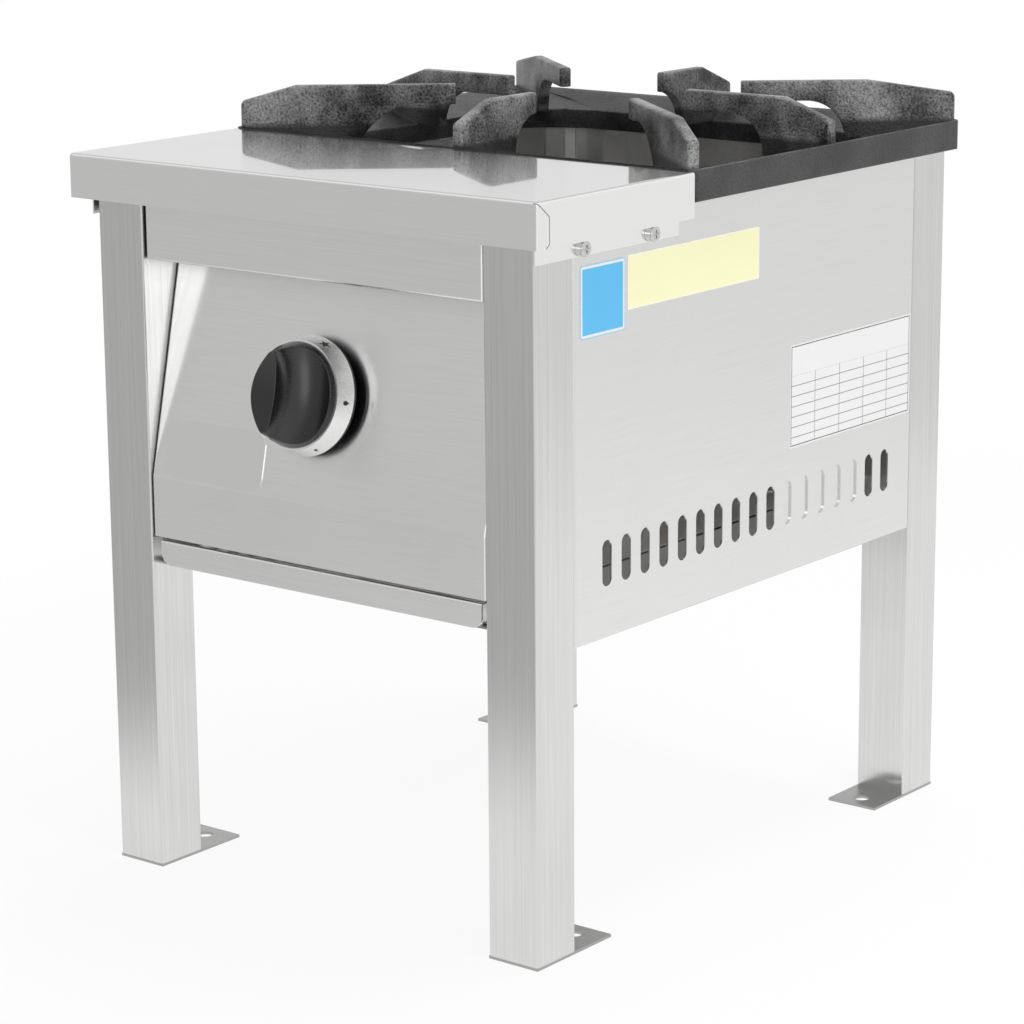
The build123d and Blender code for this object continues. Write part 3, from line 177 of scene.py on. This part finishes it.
def makeFloor():
    deselect()
    bpy.ops.mesh.primitive_circle_add(
        vertices=96, radius=studio["floorRadius"], fill_type="NGON", location=studio["floorMiddle"])
    floor = bpy.context.active_object
    floor.name = "studioFloor"
    material, tree = newMaterial("matte white paper sweep")
    coords = addNode(tree, "ShaderNodeTexCoord")
    far = addNode(tree, "ShaderNodeVectorMath", {0: coords.outputs["Object"]}, operation="LENGTH")
    fade = addNode(tree, "ShaderNodeMapRange", {
        "Value": far.outputs["Value"], "From Min": studio["floorClear"],
        "From Max": studio["floorRadius"] * studio["floorFaded"],
    }, interpolation_type="SMOOTHSTEP")
    ray = addNode(tree, "ShaderNodeLightPath")
    mirrored = addNode(tree, "ShaderNodeMath", {
        0: ray.outputs["Is Glossy Ray"], 1: ray.outputs["Is Transmission Ray"],
    }, operation="MAXIMUM")
    seen = addNode(tree, "ShaderNodeMath", {
        0: ray.outputs["Is Camera Ray"], 1: mirrored.outputs[0],
    }, operation="MAXIMUM")
    share = addNode(tree, "ShaderNodeMath", {
        0: seen.outputs[0], 1: studio["paperGlow"],
    }, operation="MULTIPLY")
    paper = addNode(tree, "ShaderNodeBsdfDiffuse", {"Color": linearColour(studio["paperColour"])})
    white = addNode(tree, "ShaderNodeEmission", {"Strength": 1.0})
    lit = addNode(tree, "ShaderNodeMixShader", {
        0: share.outputs[0], 1: paper.outputs[0], 2: white.outputs[0],
    })
    clear = addNode(tree, "ShaderNodeBsdfTransparent")
    mix = addNode(tree, "ShaderNodeMixShader", {
        0: fade.outputs[0], 1: lit.outputs[0], 2: clear.outputs[0],
    })
    finishMaterial(tree, mix)
    paint(floor, material)


def makeBackdrop():
    world = bpy.data.worlds.new("studioBackdrop")
    bpy.context.scene.world = world
    world.use_nodes = True
    tree = world.node_tree
    tree.nodes.clear()
    ray = addNode(tree, "ShaderNodeLightPath")
    coords = addNode(tree, "ShaderNodeTexCoord")
    # white behind the object; low in front and to the left the room is unlit
    facing = addNode(tree, "ShaderNodeVectorMath", {
        0: coords.outputs["Generated"], 1: studio["dimSide"],
    }, operation="DOT_PRODUCT")
    aside = addNode(tree, "ShaderNodeMapRange", {
        "Value": facing.outputs["Value"], **studio["roundFrom"],
    }, interpolation_type="SMOOTHSTEP")
    height = addNode(tree, "ShaderNodeSeparateXYZ", {0: coords.outputs["Generated"]})
    low = addNode(tree, "ShaderNodeMapRange", {
        "Value": height.outputs["Z"], **studio["dimBelow"],
    }, interpolation_type="SMOOTHSTEP")
    unlit = addNode(tree, "ShaderNodeMath", {
        0: aside.outputs[0], 1: low.outputs[0],
    }, operation="MULTIPLY")
    bright = addNode(tree, "ShaderNodeMapRange", {
        "Value": height.outputs["Z"], **studio["whiteSide"],
    })
    room = addNode(tree, "ShaderNodeMix", {
        0: unlit.outputs[0], 2: bright.outputs[0], 3: studio["roomDim"],
    }, data_type="FLOAT")
    mirrored = addNode(tree, "ShaderNodeMath", {
        0: ray.outputs["Is Glossy Ray"], 1: ray.outputs["Is Transmission Ray"],
    }, operation="MAXIMUM")
    reflected = addNode(tree, "ShaderNodeMix", {
        0: mirrored.outputs[0], 2: studio["ambient"], 3: room.outputs[0],
    }, data_type="FLOAT")
    strength = addNode(tree, "ShaderNodeMix", {
        0: ray.outputs["Is Camera Ray"], 2: reflected.outputs[0], 3: 1.0,
    }, data_type="FLOAT")
    background = addNode(tree, "ShaderNodeBackground", {
        "Color": (1, 1, 1, 1), "Strength": strength.outputs[0],
    })
    addNode(tree, "ShaderNodeOutputWorld", {"Surface": background.outputs[0]})


softBoxes = [
    # only the one beside the camera shows as a spot in the metal
    {"name": "boxRight", "place": (1.9, -0.4, 1.5), "aim": (0.1, 0.0, 0.3),
     "width": 1.2, "height": 1.4, "watts": 14, "mirrored": False},
    {"name": "boxFront", "place": (1.7, -2.1, 1.3), "aim": (0.0, 0.0, 0.3),
     "width": 1.4, "height": 1.6, "watts": 9, "mirrored": True},
    {"name": "boxOver", "place": (0.1, 0.6, 2.3), "aim": (0.0, 0.0, 0.3),
     "width": 1.6, "height": 1.2, "watts": 24, "mirrored": False},
]


def makeSoftBox(box):
    lamp = bpy.data.lights.new(box["name"], "AREA")
    lamp.shape = "RECTANGLE"
    lamp.size = box["width"]
    lamp.size_y = box["height"]
    lamp.energy = box["watts"]
    holder = bpy.data.objects.new(box["name"], lamp)
    bpy.context.scene.collection.objects.link(holder)
    holder.visible_glossy = box["mirrored"]
    holder.location = box["place"]
    way = Vector(box["aim"]) - Vector(box["place"])
    holder.rotation_euler = way.to_track_quat("-Z", "Y").to_euler()


makeFloor()
makeBackdrop()
for box in softBoxes:
    makeSoftBox(box)
bpy.context.scene.view_settings.view_transform = "Standard"
print("floor, backdrop and soft boxes in place")

# the values between which most of a noise lies, and the narrower middle that gives more contrast
mostNoise = {"From Min": 0.3, "From Max": 0.7}
midNoise = {"From Min": 0.35, "From Max": 0.65}


def grainNoise(tree, sizes, detail=3.0, roughness=0.5):
    # noise whose grains have these sizes in millimetres, along X, Y and Z
    coords = addNode(tree, "ShaderNodeTexCoord")
    scaled = addNode(tree, "ShaderNodeMapping", {
        "Vector": coords.outputs["Object"], "Scale": [1 / (size * millimetre) for size in sizes],
    })
    return addNode(tree, "ShaderNodeTexNoise", {
        "Vector": scaled.outputs[0], "Scale": 1.0, "Detail": detail, "Roughness": roughness,
    })


brushing = {
    # along which axis the belt ran, a hair off it so that faces square to it still get a direction
    "X": Vector((1.0, 0.013, 0.007)),
    "Y": Vector((0.013, 1.0, 0.007)),
    "Z": Vector((0.013, 0.007, 1.0)),
    "lift": 0.4,  # the light scratches stand out by this share of what the dark ones do
    "depth": 0.1,  # of a scratch, as a share of its width
    "shadedTopFrom": 0.7,  # faces whose normal rises more than this are the top of a sheet, which is painted a shade darker
    "polishRoughness": 0.03,
    "polishIor": 1.7,
}


def brushedSteel(name, look):
    # 304 stainless sheet, ground with an abrasive belt: fine parallel scratches that spread
    # reflections across them, with faint bands and clouds where the belt pressed harder
    material, tree = newMaterial(name)
    sizes = [look["grain"]] * 3
    sizes["XYZ".index(look["along"])] = look["streak"]
    scratches = grainNoise(tree, sizes, roughness=0.65)
    clouds = grainNoise(tree, [look["cloud"]] * 3, detail=2.0)
    tone = addNode(tree, "ShaderNodeMapRange", {
        "Value": scratches.outputs[0], **mostNoise,
        "To Min": 1 - look["contrast"], "To Max": 1 + look["contrast"] * brushing["lift"],
    })
    shape = addNode(tree, "ShaderNodeNewGeometry")
    facing = addNode(tree, "ShaderNodeSeparateXYZ", {0: shape.outputs["Normal"]})
    # painted shade: the top of a sheet, where the normal looks upwards, gets the greyer flat colour
    level = addNode(tree, "ShaderNodeMath", {
        0: facing.outputs["Z"], 1: brushing["shadedTopFrom"],
    }, operation="GREATER_THAN")
    sheet = addNode(tree, "ShaderNodeMix", {
        0: level.outputs[0], 6: linearColour(look["colour"]),
        7: linearColour(look.get("flat", look["colour"])),
    }, data_type="RGBA")
    tint = addNode(tree, "ShaderNodeMix", {
        0: 1.0, 6: sheet.outputs[2], 7: tone.outputs[0],
    }, data_type="RGBA", blend_type="MULTIPLY")
    rough = addNode(tree, "ShaderNodeMapRange", {
        "Value": clouds.outputs[0], **midNoise,
        "To Min": look["roughness"] - look["roughPlay"],
        "To Max": look["roughness"] + look["roughPlay"],
    })
    bump = addNode(tree, "ShaderNodeBump", {
        "Height": scratches.outputs[0], "Strength": look["bump"],
        "Distance": look["grain"] * millimetre * brushing["depth"],
    })
    across = addNode(tree, "ShaderNodeVectorMath", {
        0: shape.outputs["Normal"], 1: brushing[look["along"]],
    }, operation="CROSS_PRODUCT")
    shader = addNode(tree, "ShaderNodeBsdfPrincipled", {
        "Base Color": tint.outputs[2], "Metallic": 1.0, "Roughness": rough.outputs[0],
        "Anisotropic": look["anisotropy"], "Normal": bump.outputs[0],
        "Tangent": across.outputs[0], "Coat Weight": look.get("polish", 0.0),
        "Coat Roughness": brushing["polishRoughness"], "Coat IOR": brushing["polishIor"],
    })
    finishMaterial(tree, shader)
    return material


legSteel = brushedSteel("welded stainless tube, brushed lengthwise", {
    "along": "Z", "grain": 1.3, "streak": 160, "cloud": 70, "colour": "#DDDDDC",
    "contrast": 0.08, "roughness": 0.24, "roughPlay": 0.03, "anisotropy": 0.75, "bump": 0.05,
})
frontSteel = brushedSteel("stainless sheet, brushed across the front", {
    "along": "X", "grain": 0.8, "streak": 60, "cloud": 90, "colour": "#F3F3F2",
    "contrast": 0.035, "roughness": 0.22, "roughPlay": 0.02, "anisotropy": 0.9, "bump": 0.03,
})
topSteel = brushedSteel("polished stainless worktop sheet", {
    "along": "X", "grain": 0.8, "streak": 60, "cloud": 90, "colour": "#F4F4F3",
    # the flat colour is painted shade, greying the worktop's top face
    "flat": "#C2C2C1", "contrast": 0.03, "roughness": 0.20, "roughPlay": 0.02,
    "anisotropy": 0.8, "bump": 0.02, "polish": 1.0,
})
sideSteel = brushedSteel("stainless sheet, brushed from front to back", {
    "along": "Y", "grain": 0.8, "streak": 60, "cloud": 90, "colour": "#E4E4E3",
    "contrast": 0.03, "roughness": 0.26, "roughPlay": 0.02, "anisotropy": 0.6, "bump": 0.03,
})
bracketSteel = brushedSteel("mill-finish stainless bracket", {
    "along": "X", "grain": 1.5, "streak": 40, "cloud": 40, "colour": "#ACACAB",
    "contrast": 0.08, "roughness": 0.34, "roughPlay": 0.04, "anisotropy": 0.3, "bump": 0.05,
})
print("stainless finishes made")

sandCasting = {
    "smoothPatch": 0.45,  # how much grain is left in the smoothest patches
    "edgeFrom": 0.53,  # pointiness at which the painted highlight on sharp edges starts
    "edgeTo": 0.60,
    "glintSpan": 0.40,
    "frameGlint": 0.12,  # share of the painted glints on what lies below the fins
    "fade": 4 * millimetre,  # height over which the painted glints change
    "roughPlay": 0.12,
    "depth": 0.6,  # of the grain, as a share of its width
}


def castIron(name, look):
    # grey iron cast in green sand, bare or painted: the sand leaves a coarse grain, thicker in
    # patches; its highest grains get painted glints, and sharp edges a painted highlight
    material, tree = newMaterial(name)
    sand = grainNoise(tree, [look["grit"]] * 3, detail=4.0, roughness=0.62)
    patches = grainNoise(tree, [look["patch"]] * 3)
    coarse = addNode(tree, "ShaderNodeMapRange", {
        "Value": patches.outputs[0], **midNoise,
        "To Min": sandCasting["smoothPatch"], "To Max": 1.0,
    })
    height = addNode(tree, "ShaderNodeMath", {
        0: sand.outputs[0], 1: coarse.outputs[0],
    }, operation="MULTIPLY")
    shape = addNode(tree, "ShaderNodeNewGeometry")
    # painted highlight: sharp edges get the lighter edge colour
    sharpEdges = addNode(tree, "ShaderNodeMapRange", {
        "Value": shape.outputs["Pointiness"],
        "From Min": sandCasting["edgeFrom"], "From Max": sandCasting["edgeTo"],
    })
    paintedEdgeLight = addNode(tree, "ShaderNodeMath", {
        0: sharpEdges.outputs[0], 1: sand.outputs[0],
    }, operation="MULTIPLY")
    # painted glints: the highest sand grains get the lighter bare colour
    glintMask = addNode(tree, "ShaderNodeMapRange", {
        "Value": height.outputs[0], "From Min": look["glintFrom"],
        "From Max": look["glintFrom"] + sandCasting["glintSpan"],
    })
    coords = addNode(tree, "ShaderNodeTexCoord")
    level = addNode(tree, "ShaderNodeSeparateXYZ", {0: coords.outputs["Object"]})
    # the painted glints are kept mostly to what lies above this height
    fins = addNode(tree, "ShaderNodeMapRange", {
        "Value": level.outputs["Z"], "From Min": look["glintAbove"] - sandCasting["fade"],
        "From Max": look["glintAbove"], "To Min": sandCasting["frameGlint"], "To Max": 1.0,
    })
    paintedGlint = addNode(tree, "ShaderNodeMath", {
        0: glintMask.outputs[0], 1: fins.outputs[0],
    }, operation="MULTIPLY")
    base = addNode(tree, "ShaderNodeMix", {
        0: paintedGlint.outputs[0], 6: linearColour(look["colour"]), 7: linearColour(look["bare"]),
    }, data_type="RGBA")
    colour = addNode(tree, "ShaderNodeMix", {
        0: paintedEdgeLight.outputs[0], 6: base.outputs[2], 7: linearColour(look["paintedEdgeLight"]),
    }, data_type="RGBA")
    rough = addNode(tree, "ShaderNodeMapRange", {
        "Value": sand.outputs[0], **midNoise,
        "To Min": look["roughness"] - sandCasting["roughPlay"],
        "To Max": look["roughness"] + sandCasting["roughPlay"],
    })
    bump = addNode(tree, "ShaderNodeBump", {
        "Height": height.outputs[0], "Strength": look["bump"],
        "Distance": look["grit"] * millimetre * sandCasting["depth"],
    })
    shader = addNode(tree, "ShaderNodeBsdfPrincipled", {
        "Base Color": colour.outputs[2], "Metallic": look["graphite"],
        "Roughness": rough.outputs[0], "Normal": bump.outputs[0],
    })
    finishMaterial(tree, shader)
    return material


# the edge colour is a painted highlight on the casting's sharp edges
grateIron = castIron("black painted sand-cast iron", {
    # the bare colour is the colour of the painted glints on the grain
    "grit": 1.6, "patch": 34, "colour": "#1B1B1B", "bare": "#A8A8A8", "paintedEdgeLight": "#8A8A8A",
    "glintFrom": 0.22, "glintAbove": 0.504, "bump": 1.0, "roughness": 0.36, "graphite": 0.35,
})
# the edge colour is a painted highlight on the casting's sharp edges
burnerIron = castIron("bare sand-cast iron", {
    # the bare colour is the colour of the painted glints on the grain
    "grit": 1.5, "patch": 40, "colour": "#323231", "bare": "#575654", "paintedEdgeLight": "#7A7977",
    "glintFrom": 0.20, "glintAbove": 0.0, "bump": 0.7, "roughness": 0.55, "graphite": 0.3,
})
print("iron finishes made")


def evenFinish(name, look, shading):
    # one colour with a fine grain that is the same all over
    material, tree = newMaterial(name)
    noise = grainNoise(tree, [look["grain"]] * 3)
    rough = addNode(tree, "ShaderNodeMapRange", {
        "Value": noise.outputs[0], **mostNoise,
        "To Min": look["roughness"] - look["roughPlay"],
        "To Max": look["roughness"] + look["roughPlay"],
    })
    tone = addNode(tree, "ShaderNodeMapRange", {
        "Value": noise.outputs[0], **mostNoise, "To Min": 1 - look["contrast"], "To Max": 1.0,
    })
    colour = addNode(tree, "ShaderNodeMix", {
        0: 1.0, 6: linearColour(look["colour"]), 7: tone.outputs[0],
    }, data_type="RGBA", blend_type="MULTIPLY")
    bump = addNode(tree, "ShaderNodeBump", {
        "Height": noise.outputs[0], "Strength": look["bump"],
        "Distance": look["grain"] * millimetre * look["depth"],
    })
    shader = addNode(tree, "ShaderNodeBsdfPrincipled", {
        "Base Color": colour.outputs[2], "Roughness": rough.outputs[0],
        "Normal": bump.outputs[0], **shading,
    })
    finishMaterial(tree, shader)
    return material


def plainMetal(name, look):
    # turned, cast, drawn or plated metal: the tool or the mould leaves a fine grain
    return evenFinish(name, look | {"roughPlay": 0.05, "depth": 0.2}, {"Metallic": 1.0})


def smoothSkin(name, look, ior):
    # phenolic moulding, label film or ink: a plain colour under a thin and nearly smooth skin
    grain = {"contrast": 0.04, "roughPlay": 0.06, "depth": 0.3}
    return evenFinish(name, look | grain, {"IOR": ior})


def filmColour(name, code):
    return smoothSkin(name, {"grain": 0.6, "colour": code, "roughness": 0.38, "bump": 0.05}, 1.5)


zincPlate = plainMetal("bright zinc plate", {
    "grain": 0.8, "colour": "#D6D6D4", "roughness": 0.16, "contrast": 0.10, "bump": 0.05})
satinFoil = plainMetal("satin anodised foil", {
    "grain": 0.5, "colour": "#F4F4F3", "roughness": 0.20, "contrast": 0.04, "bump": 0.03})
ringAluminium = plainMetal("satin anodised aluminium", {
    "grain": 0.4, "colour": "#FAFAFA", "roughness": 0.28, "contrast": 0.04, "bump": 0.04})
castAluminium = plainMetal("die-cast aluminium", {
    "grain": 1.2, "colour": "#B4B4B2", "roughness": 0.45, "contrast": 0.15, "bump": 0.4})
turnedBrass = plainMetal("turned brass", {
    "grain": 0.6, "colour": "#D8B36A", "roughness": 0.24, "contrast": 0.10, "bump": 0.05})
turnedSteel = plainMetal("turned steel", {
    "grain": 0.6, "colour": "#C2C2C2", "roughness": 0.28, "contrast": 0.10, "bump": 0.05})
gasPipe = plainMetal("drawn steel pipe", {
    "grain": 1.5, "colour": "#BFBFBF", "roughness": 0.30, "contrast": 0.12, "bump": 0.05})
drawnCopper = plainMetal("drawn copper", {
    "grain": 1.0, "colour": "#C98B63", "roughness": 0.30, "contrast": 0.15, "bump": 0.05})
knobPlastic = smoothSkin("black phenolic moulding", {
    "grain": 0.6, "colour": "#161616", "roughness": 0.27, "bump": 0.22}, 1.6)
darkInk = filmColour("black printed ink", "#202020")
whiteFilm = filmColour("white polyester label film", "#EFEFEF")
blueFilm = filmColour("blue printed label film", "#5CC0F2")
skyFilm = filmColour("sky blue label margin", "#9FD0F1")
yellowFilm = filmColour("yellow printed label film", "#FDFBCC")
lemonFilm = filmColour("pale lemon label margin", "#FFFDE2")

ratingForm = {
    # in millimetres, with the film's lower and upper corner in y and z
    "low": (43.5, 293.0),
    "high": (198.0, 365.0),
    "ruledHeight": 50.2,  # the boxes fill the film up to here
    "boxWide": 30.9,
    "boxHigh": 7.2,
    "ruleWidth": 0.6,
    "paper": "#EFEFEF",
    "rule": "#8C8C8C",
    "roughness": 0.38,
    "ior": 1.5,
}


def ruledFilm(name, form):
    # white polyester film with a thermal-printed form: bare boxes between thin grey rules
    material, tree = newMaterial(name)
    coords = addNode(tree, "ShaderNodeTexCoord")
    place = addNode(tree, "ShaderNodeSeparateXYZ", {0: coords.outputs["Object"]})
    flat = addNode(tree, "ShaderNodeCombineXYZ", {0: place.outputs["Y"], 1: place.outputs["Z"]})
    fromCorner = addNode(tree, "ShaderNodeMapping", {
        "Vector": flat.outputs[0], "Location": [-form["low"][0], -form["low"][1], 0],
        "Scale": [1 / millimetre] * 3,
    })
    boxes = addNode(tree, "ShaderNodeTexBrick", {
        "Vector": fromCorner.outputs[0], "Color1": linearColour(form["paper"]),
        "Color2": linearColour(form["paper"]), "Mortar": linearColour(form["rule"]),
        "Scale": 1.0, "Mortar Size": form["ruleWidth"] / 2, "Mortar Smooth": 0.0,
        "Brick Width": form["boxWide"], "Row Height": form["boxHigh"],
    }, offset=0.0, squash=1.0)
    above = addNode(tree, "ShaderNodeMath", {
        0: place.outputs["Z"], 1: (form["low"][1] + form["ruledHeight"]) * millimetre,
    }, operation="GREATER_THAN")
    colour = addNode(tree, "ShaderNodeMix", {
        0: above.outputs[0], 6: boxes.outputs["Color"], 7: linearColour(form["paper"]),
    }, data_type="RGBA")
    shader = addNode(tree, "ShaderNodeBsdfPrincipled", {
        "Base Color": colour.outputs[2], "Roughness": form["roughness"], "IOR": form["ior"],
    })
    finishMaterial(tree, shader)
    return material


ratingFilm = ruledFilm("white label film with a ruled form", ratingForm)
print("moulded, turned and printed finishes made")

slotFinish = {
    "leg_tube_stainless": legSteel,
    "panel_stainless": frontSteel,
    "worktop_stainless": topSteel,
    "bracket_steel": bracketSteel,
    "zinc_screws": zincPlate,
    "badge_foil": satinFoil,
    "grate_cast_iron": grateIron,
    "burner_cast_iron": burnerIron,
    "cast_aluminium": castAluminium,
    "brass_fittings": turnedBrass,
    "steel_spindle": turnedSteel,
    "gas_pipe_steel": gasPipe,
    "capillary_copper": drawnCopper,
    "knob_black": knobPlastic,
    "knob_ring_aluminium": ringAluminium,
}
nodeFinish = {
    # nodes whose sheet was brushed another way than the rest of their slot
    "side_panel_left": sideSteel,
    "side_panel_right": sideSteel,
    "back_panel": frontSteel,
    "burner_bridge": sideSteel,
    "foot_plate_front_left": bracketSteel,
    "foot_plate_front_right": bracketSteel,
    "foot_plate_rear_left": bracketSteel,
    "foot_plate_rear_right": bracketSteel,
}
for part in frame["record"]["subparts"]:
    name = part["node"]
    paint(nodes[name], nodeFinish.get(name, slotFinish[part["material_slot"]]))
print("CAD nodes painted")

grate = {
    "edge": 0.8 * millimetre,  # rounding of the casting's edges
    "sharpest": math.radians(35),  # edges that turn by more than this are rounded
    "halfWidth": cadBox[1][0],
}


def makeGrateCasting():
    deselect()
    nodes["pot_grate"].select_set(True)
    bpy.context.view_layer.objects.active = nodes["pot_grate"]
    bpy.ops.object.duplicate()
    casting = bpy.context.active_object
    casting.name = "potGrateCasting"
    casting.parent = None
    bpy.ops.object.mode_set(mode="EDIT")
    bpy.ops.mesh.select_all(action="SELECT")
    bpy.ops.mesh.remove_doubles(threshold=0.01 * millimetre)
    bpy.ops.object.mode_set(mode="OBJECT")
    rounding = casting.modifiers.new("roundedEdges", "BEVEL")
    rounding.width = grate["edge"]
    rounding.segments = 2
    rounding.limit_method = "ANGLE"
    rounding.angle_limit = grate["sharpest"]
    rounding.use_clamp_overlap = False
    bpy.ops.object.modifier_apply(modifier=rounding.name)
    for side in (-1, 1):  # corners of the rounding are pressed back into the casting's sides
        pickCorners(casting, lambda corner: corner.co.x * side > grate["halfWidth"])
        bpy.ops.transform.resize(
            value=(0, 1, 1), center_override=(side * grate["halfWidth"], 0, 0))
        bpy.ops.object.mode_set(mode="OBJECT")
    bpy.ops.object.shade_smooth_by_angle(angle=grate["sharpest"])
    bake(casting)
    paint(casting, grateIron)
    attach(casting, "pot_grate")
    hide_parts("pot_grate")
    casting.data.calc_loop_triangles()
    print("grate casting:", len(casting.data.loop_triangles), "triangles")


makeGrateCasting()

sideLabels = [
    # the printed films on the right side panel: lower and upper corner in y and z, and the
    # margins from the edge inwards, in millimetres
    {"name": "blueLabel", "low": (-194.5, 404.6), "high": (-147.0, 451.5), "corner": 2.5,
     "margins": [(skyFilm, 0.8), (whiteFilm, 1.6)], "field": blueFilm},
    {"name": "yellowLabel", "low": (-144.0, 417.0), "high": (4.0, 452.0), "corner": 0.0,
     "margins": [(lemonFilm, 1.0)], "field": yellowFilm},
    {"name": "ratingLabel", "low": ratingForm["low"], "high": ratingForm["high"], "corner": 0.0,
     "margins": [(whiteFilm, 1.2), (darkInk, 0.6)], "field": ratingFilm},
]
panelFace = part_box("side_panel_right")[1][0]
filmThickness = 0.12 * millimetre


def makeLabel(label):
    lowY, lowZ = label["low"]
    highY, highZ = label["high"]
    deselect()
    bpy.ops.mesh.primitive_plane_add(size=1.0, rotation=(math.pi / 2, 0, math.pi / 2))
    film = bpy.context.active_object
    film.name = label["name"]
    film.dimensions = ((highY - lowY) * millimetre, (highZ - lowZ) * millimetre, 0)
    film.location = (
        panelFace, (lowY + highY) / 2 * millimetre, (lowZ + highZ) / 2 * millimetre)
    bake(film)
    paint(film, *[finish for finish, _ in label["margins"]], label["field"])
    bpy.ops.object.mode_set(mode="EDIT")
    bpy.ops.mesh.select_all(action="SELECT")
    if label["corner"]:
        bpy.ops.mesh.bevel(offset=label["corner"] * millimetre, segments=6, affect="VERTICES")
        bpy.ops.mesh.select_all(action="SELECT")
    for index, (_, width) in enumerate(label["margins"]):
        bpy.ops.mesh.inset(thickness=width * millimetre)
        film.active_material_index = index + 1
        bpy.ops.object.material_slot_assign()
    bpy.ops.mesh.select_all(action="SELECT")
    bpy.ops.mesh.extrude_region_move(TRANSFORM_OT_translate={"value": (filmThickness, 0, 0)})
    bpy.ops.mesh.select_all(action="SELECT")
    bpy.ops.mesh.normals_make_consistent(inside=False)
    bake(film)
    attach(film, "stand")


for label in sideLabels:
    makeLabel(label)
print("labels laid on the side panel")

turning = next(
    joint for joint in frame["record"]["behaviour"]["joints"] if joint["name"] == "knob_turn")
outward = Vector(turning["axis"]).normalized()
knob = {
    "centre": Vector(turning["pos_m"]),
    "outward": outward,
    "upSlope": Vector((0.0, outward.z, -outward.y)),
    "ringRadius": 38.27 * millimetre,  # halfway along the conical face
    "ringDepth": 13.9 * millimetre,
    "coneAngle": math.atan2(3.75, 12.4),  # the ring narrows by 3.75 mm over 12.4 mm
    "markDepth": 0.25 * millimetre,
    "markProud": 0.05 * millimetre,
}


def starOutline(radius):
    # every second corner of a ten-sided face is drawn in
    bpy.ops.mesh.primitive_circle_add(vertices=10, radius=radius, fill_type="NGON")
    star = bpy.context.active_object
    pickCorners(star, lambda corner: corner.index % 2 == 1)
    bpy.ops.transform.resize(value=(0.42, 0.42, 1.0), center_override=(0, 0, 0))
    return star


def flameOutline(radius):
    # the top of a disc is pulled up to a tip: by each rise, what lies above its reach, in radii
    bpy.ops.mesh.primitive_circle_add(vertices=16, radius=radius, fill_type="NGON")
    flame = bpy.context.active_object
    for rise, reach in ((0.25, 0.6), (1.0, 1.2)):
        pickCorners(flame, lambda corner: corner.co.y > radius * reach)
        bpy.ops.transform.translate(value=(0, radius * rise, 0))
    return flame


knobMarks = [
    # the ink let into the ring's conical face, at an angle seen from the front
    {"name": "ringMarkStar", "outline": starOutline, "radius": 4.2, "clockwise": 23},
    {"name": "ringMarkLargeFlame", "outline": flameOutline, "radius": 1.6, "clockwise": 91},
    {"name": "ringMarkSmallFlame", "outline": flameOutline, "radius": 1.2, "clockwise": 152},
]


def makeKnobMark(look):
    deselect()
    mark = look["outline"](look["radius"] * millimetre)
    mark.name = look["name"]
    bpy.ops.mesh.select_all(action="SELECT")
    bpy.ops.mesh.extrude_region_move(TRANSFORM_OT_translate={
        "value": (0, 0, knob["markDepth"] + knob["markProud"])})
    bpy.ops.mesh.select_all(action="SELECT")
    bpy.ops.mesh.normals_make_consistent(inside=False)
    bpy.ops.object.mode_set(mode="OBJECT")
    angle = math.radians(look["clockwise"])
    across = Vector((1, 0, 0))
    radial = math.sin(angle) * across + math.cos(angle) * knob["upSlope"]
    tangent = math.cos(angle) * across - math.sin(angle) * knob["upSlope"]
    face = math.cos(knob["coneAngle"]) * radial + math.sin(knob["coneAngle"]) * knob["outward"]
    upright = face.cross(tangent)
    place = (knob["centre"] + knob["ringRadius"] * radial + knob["ringDepth"] * knob["outward"]
             - knob["markDepth"] * face)
    turn = Matrix((tangent, upright, face)).transposed().to_4x4()
    mark.matrix_world = Matrix.Translation(place) @ turn
    bake(mark)
    paint(mark, darkInk)
    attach(mark, "knob")


for look in knobMarks:
    makeKnobMark(look)
print("marks set in the knob's ring")
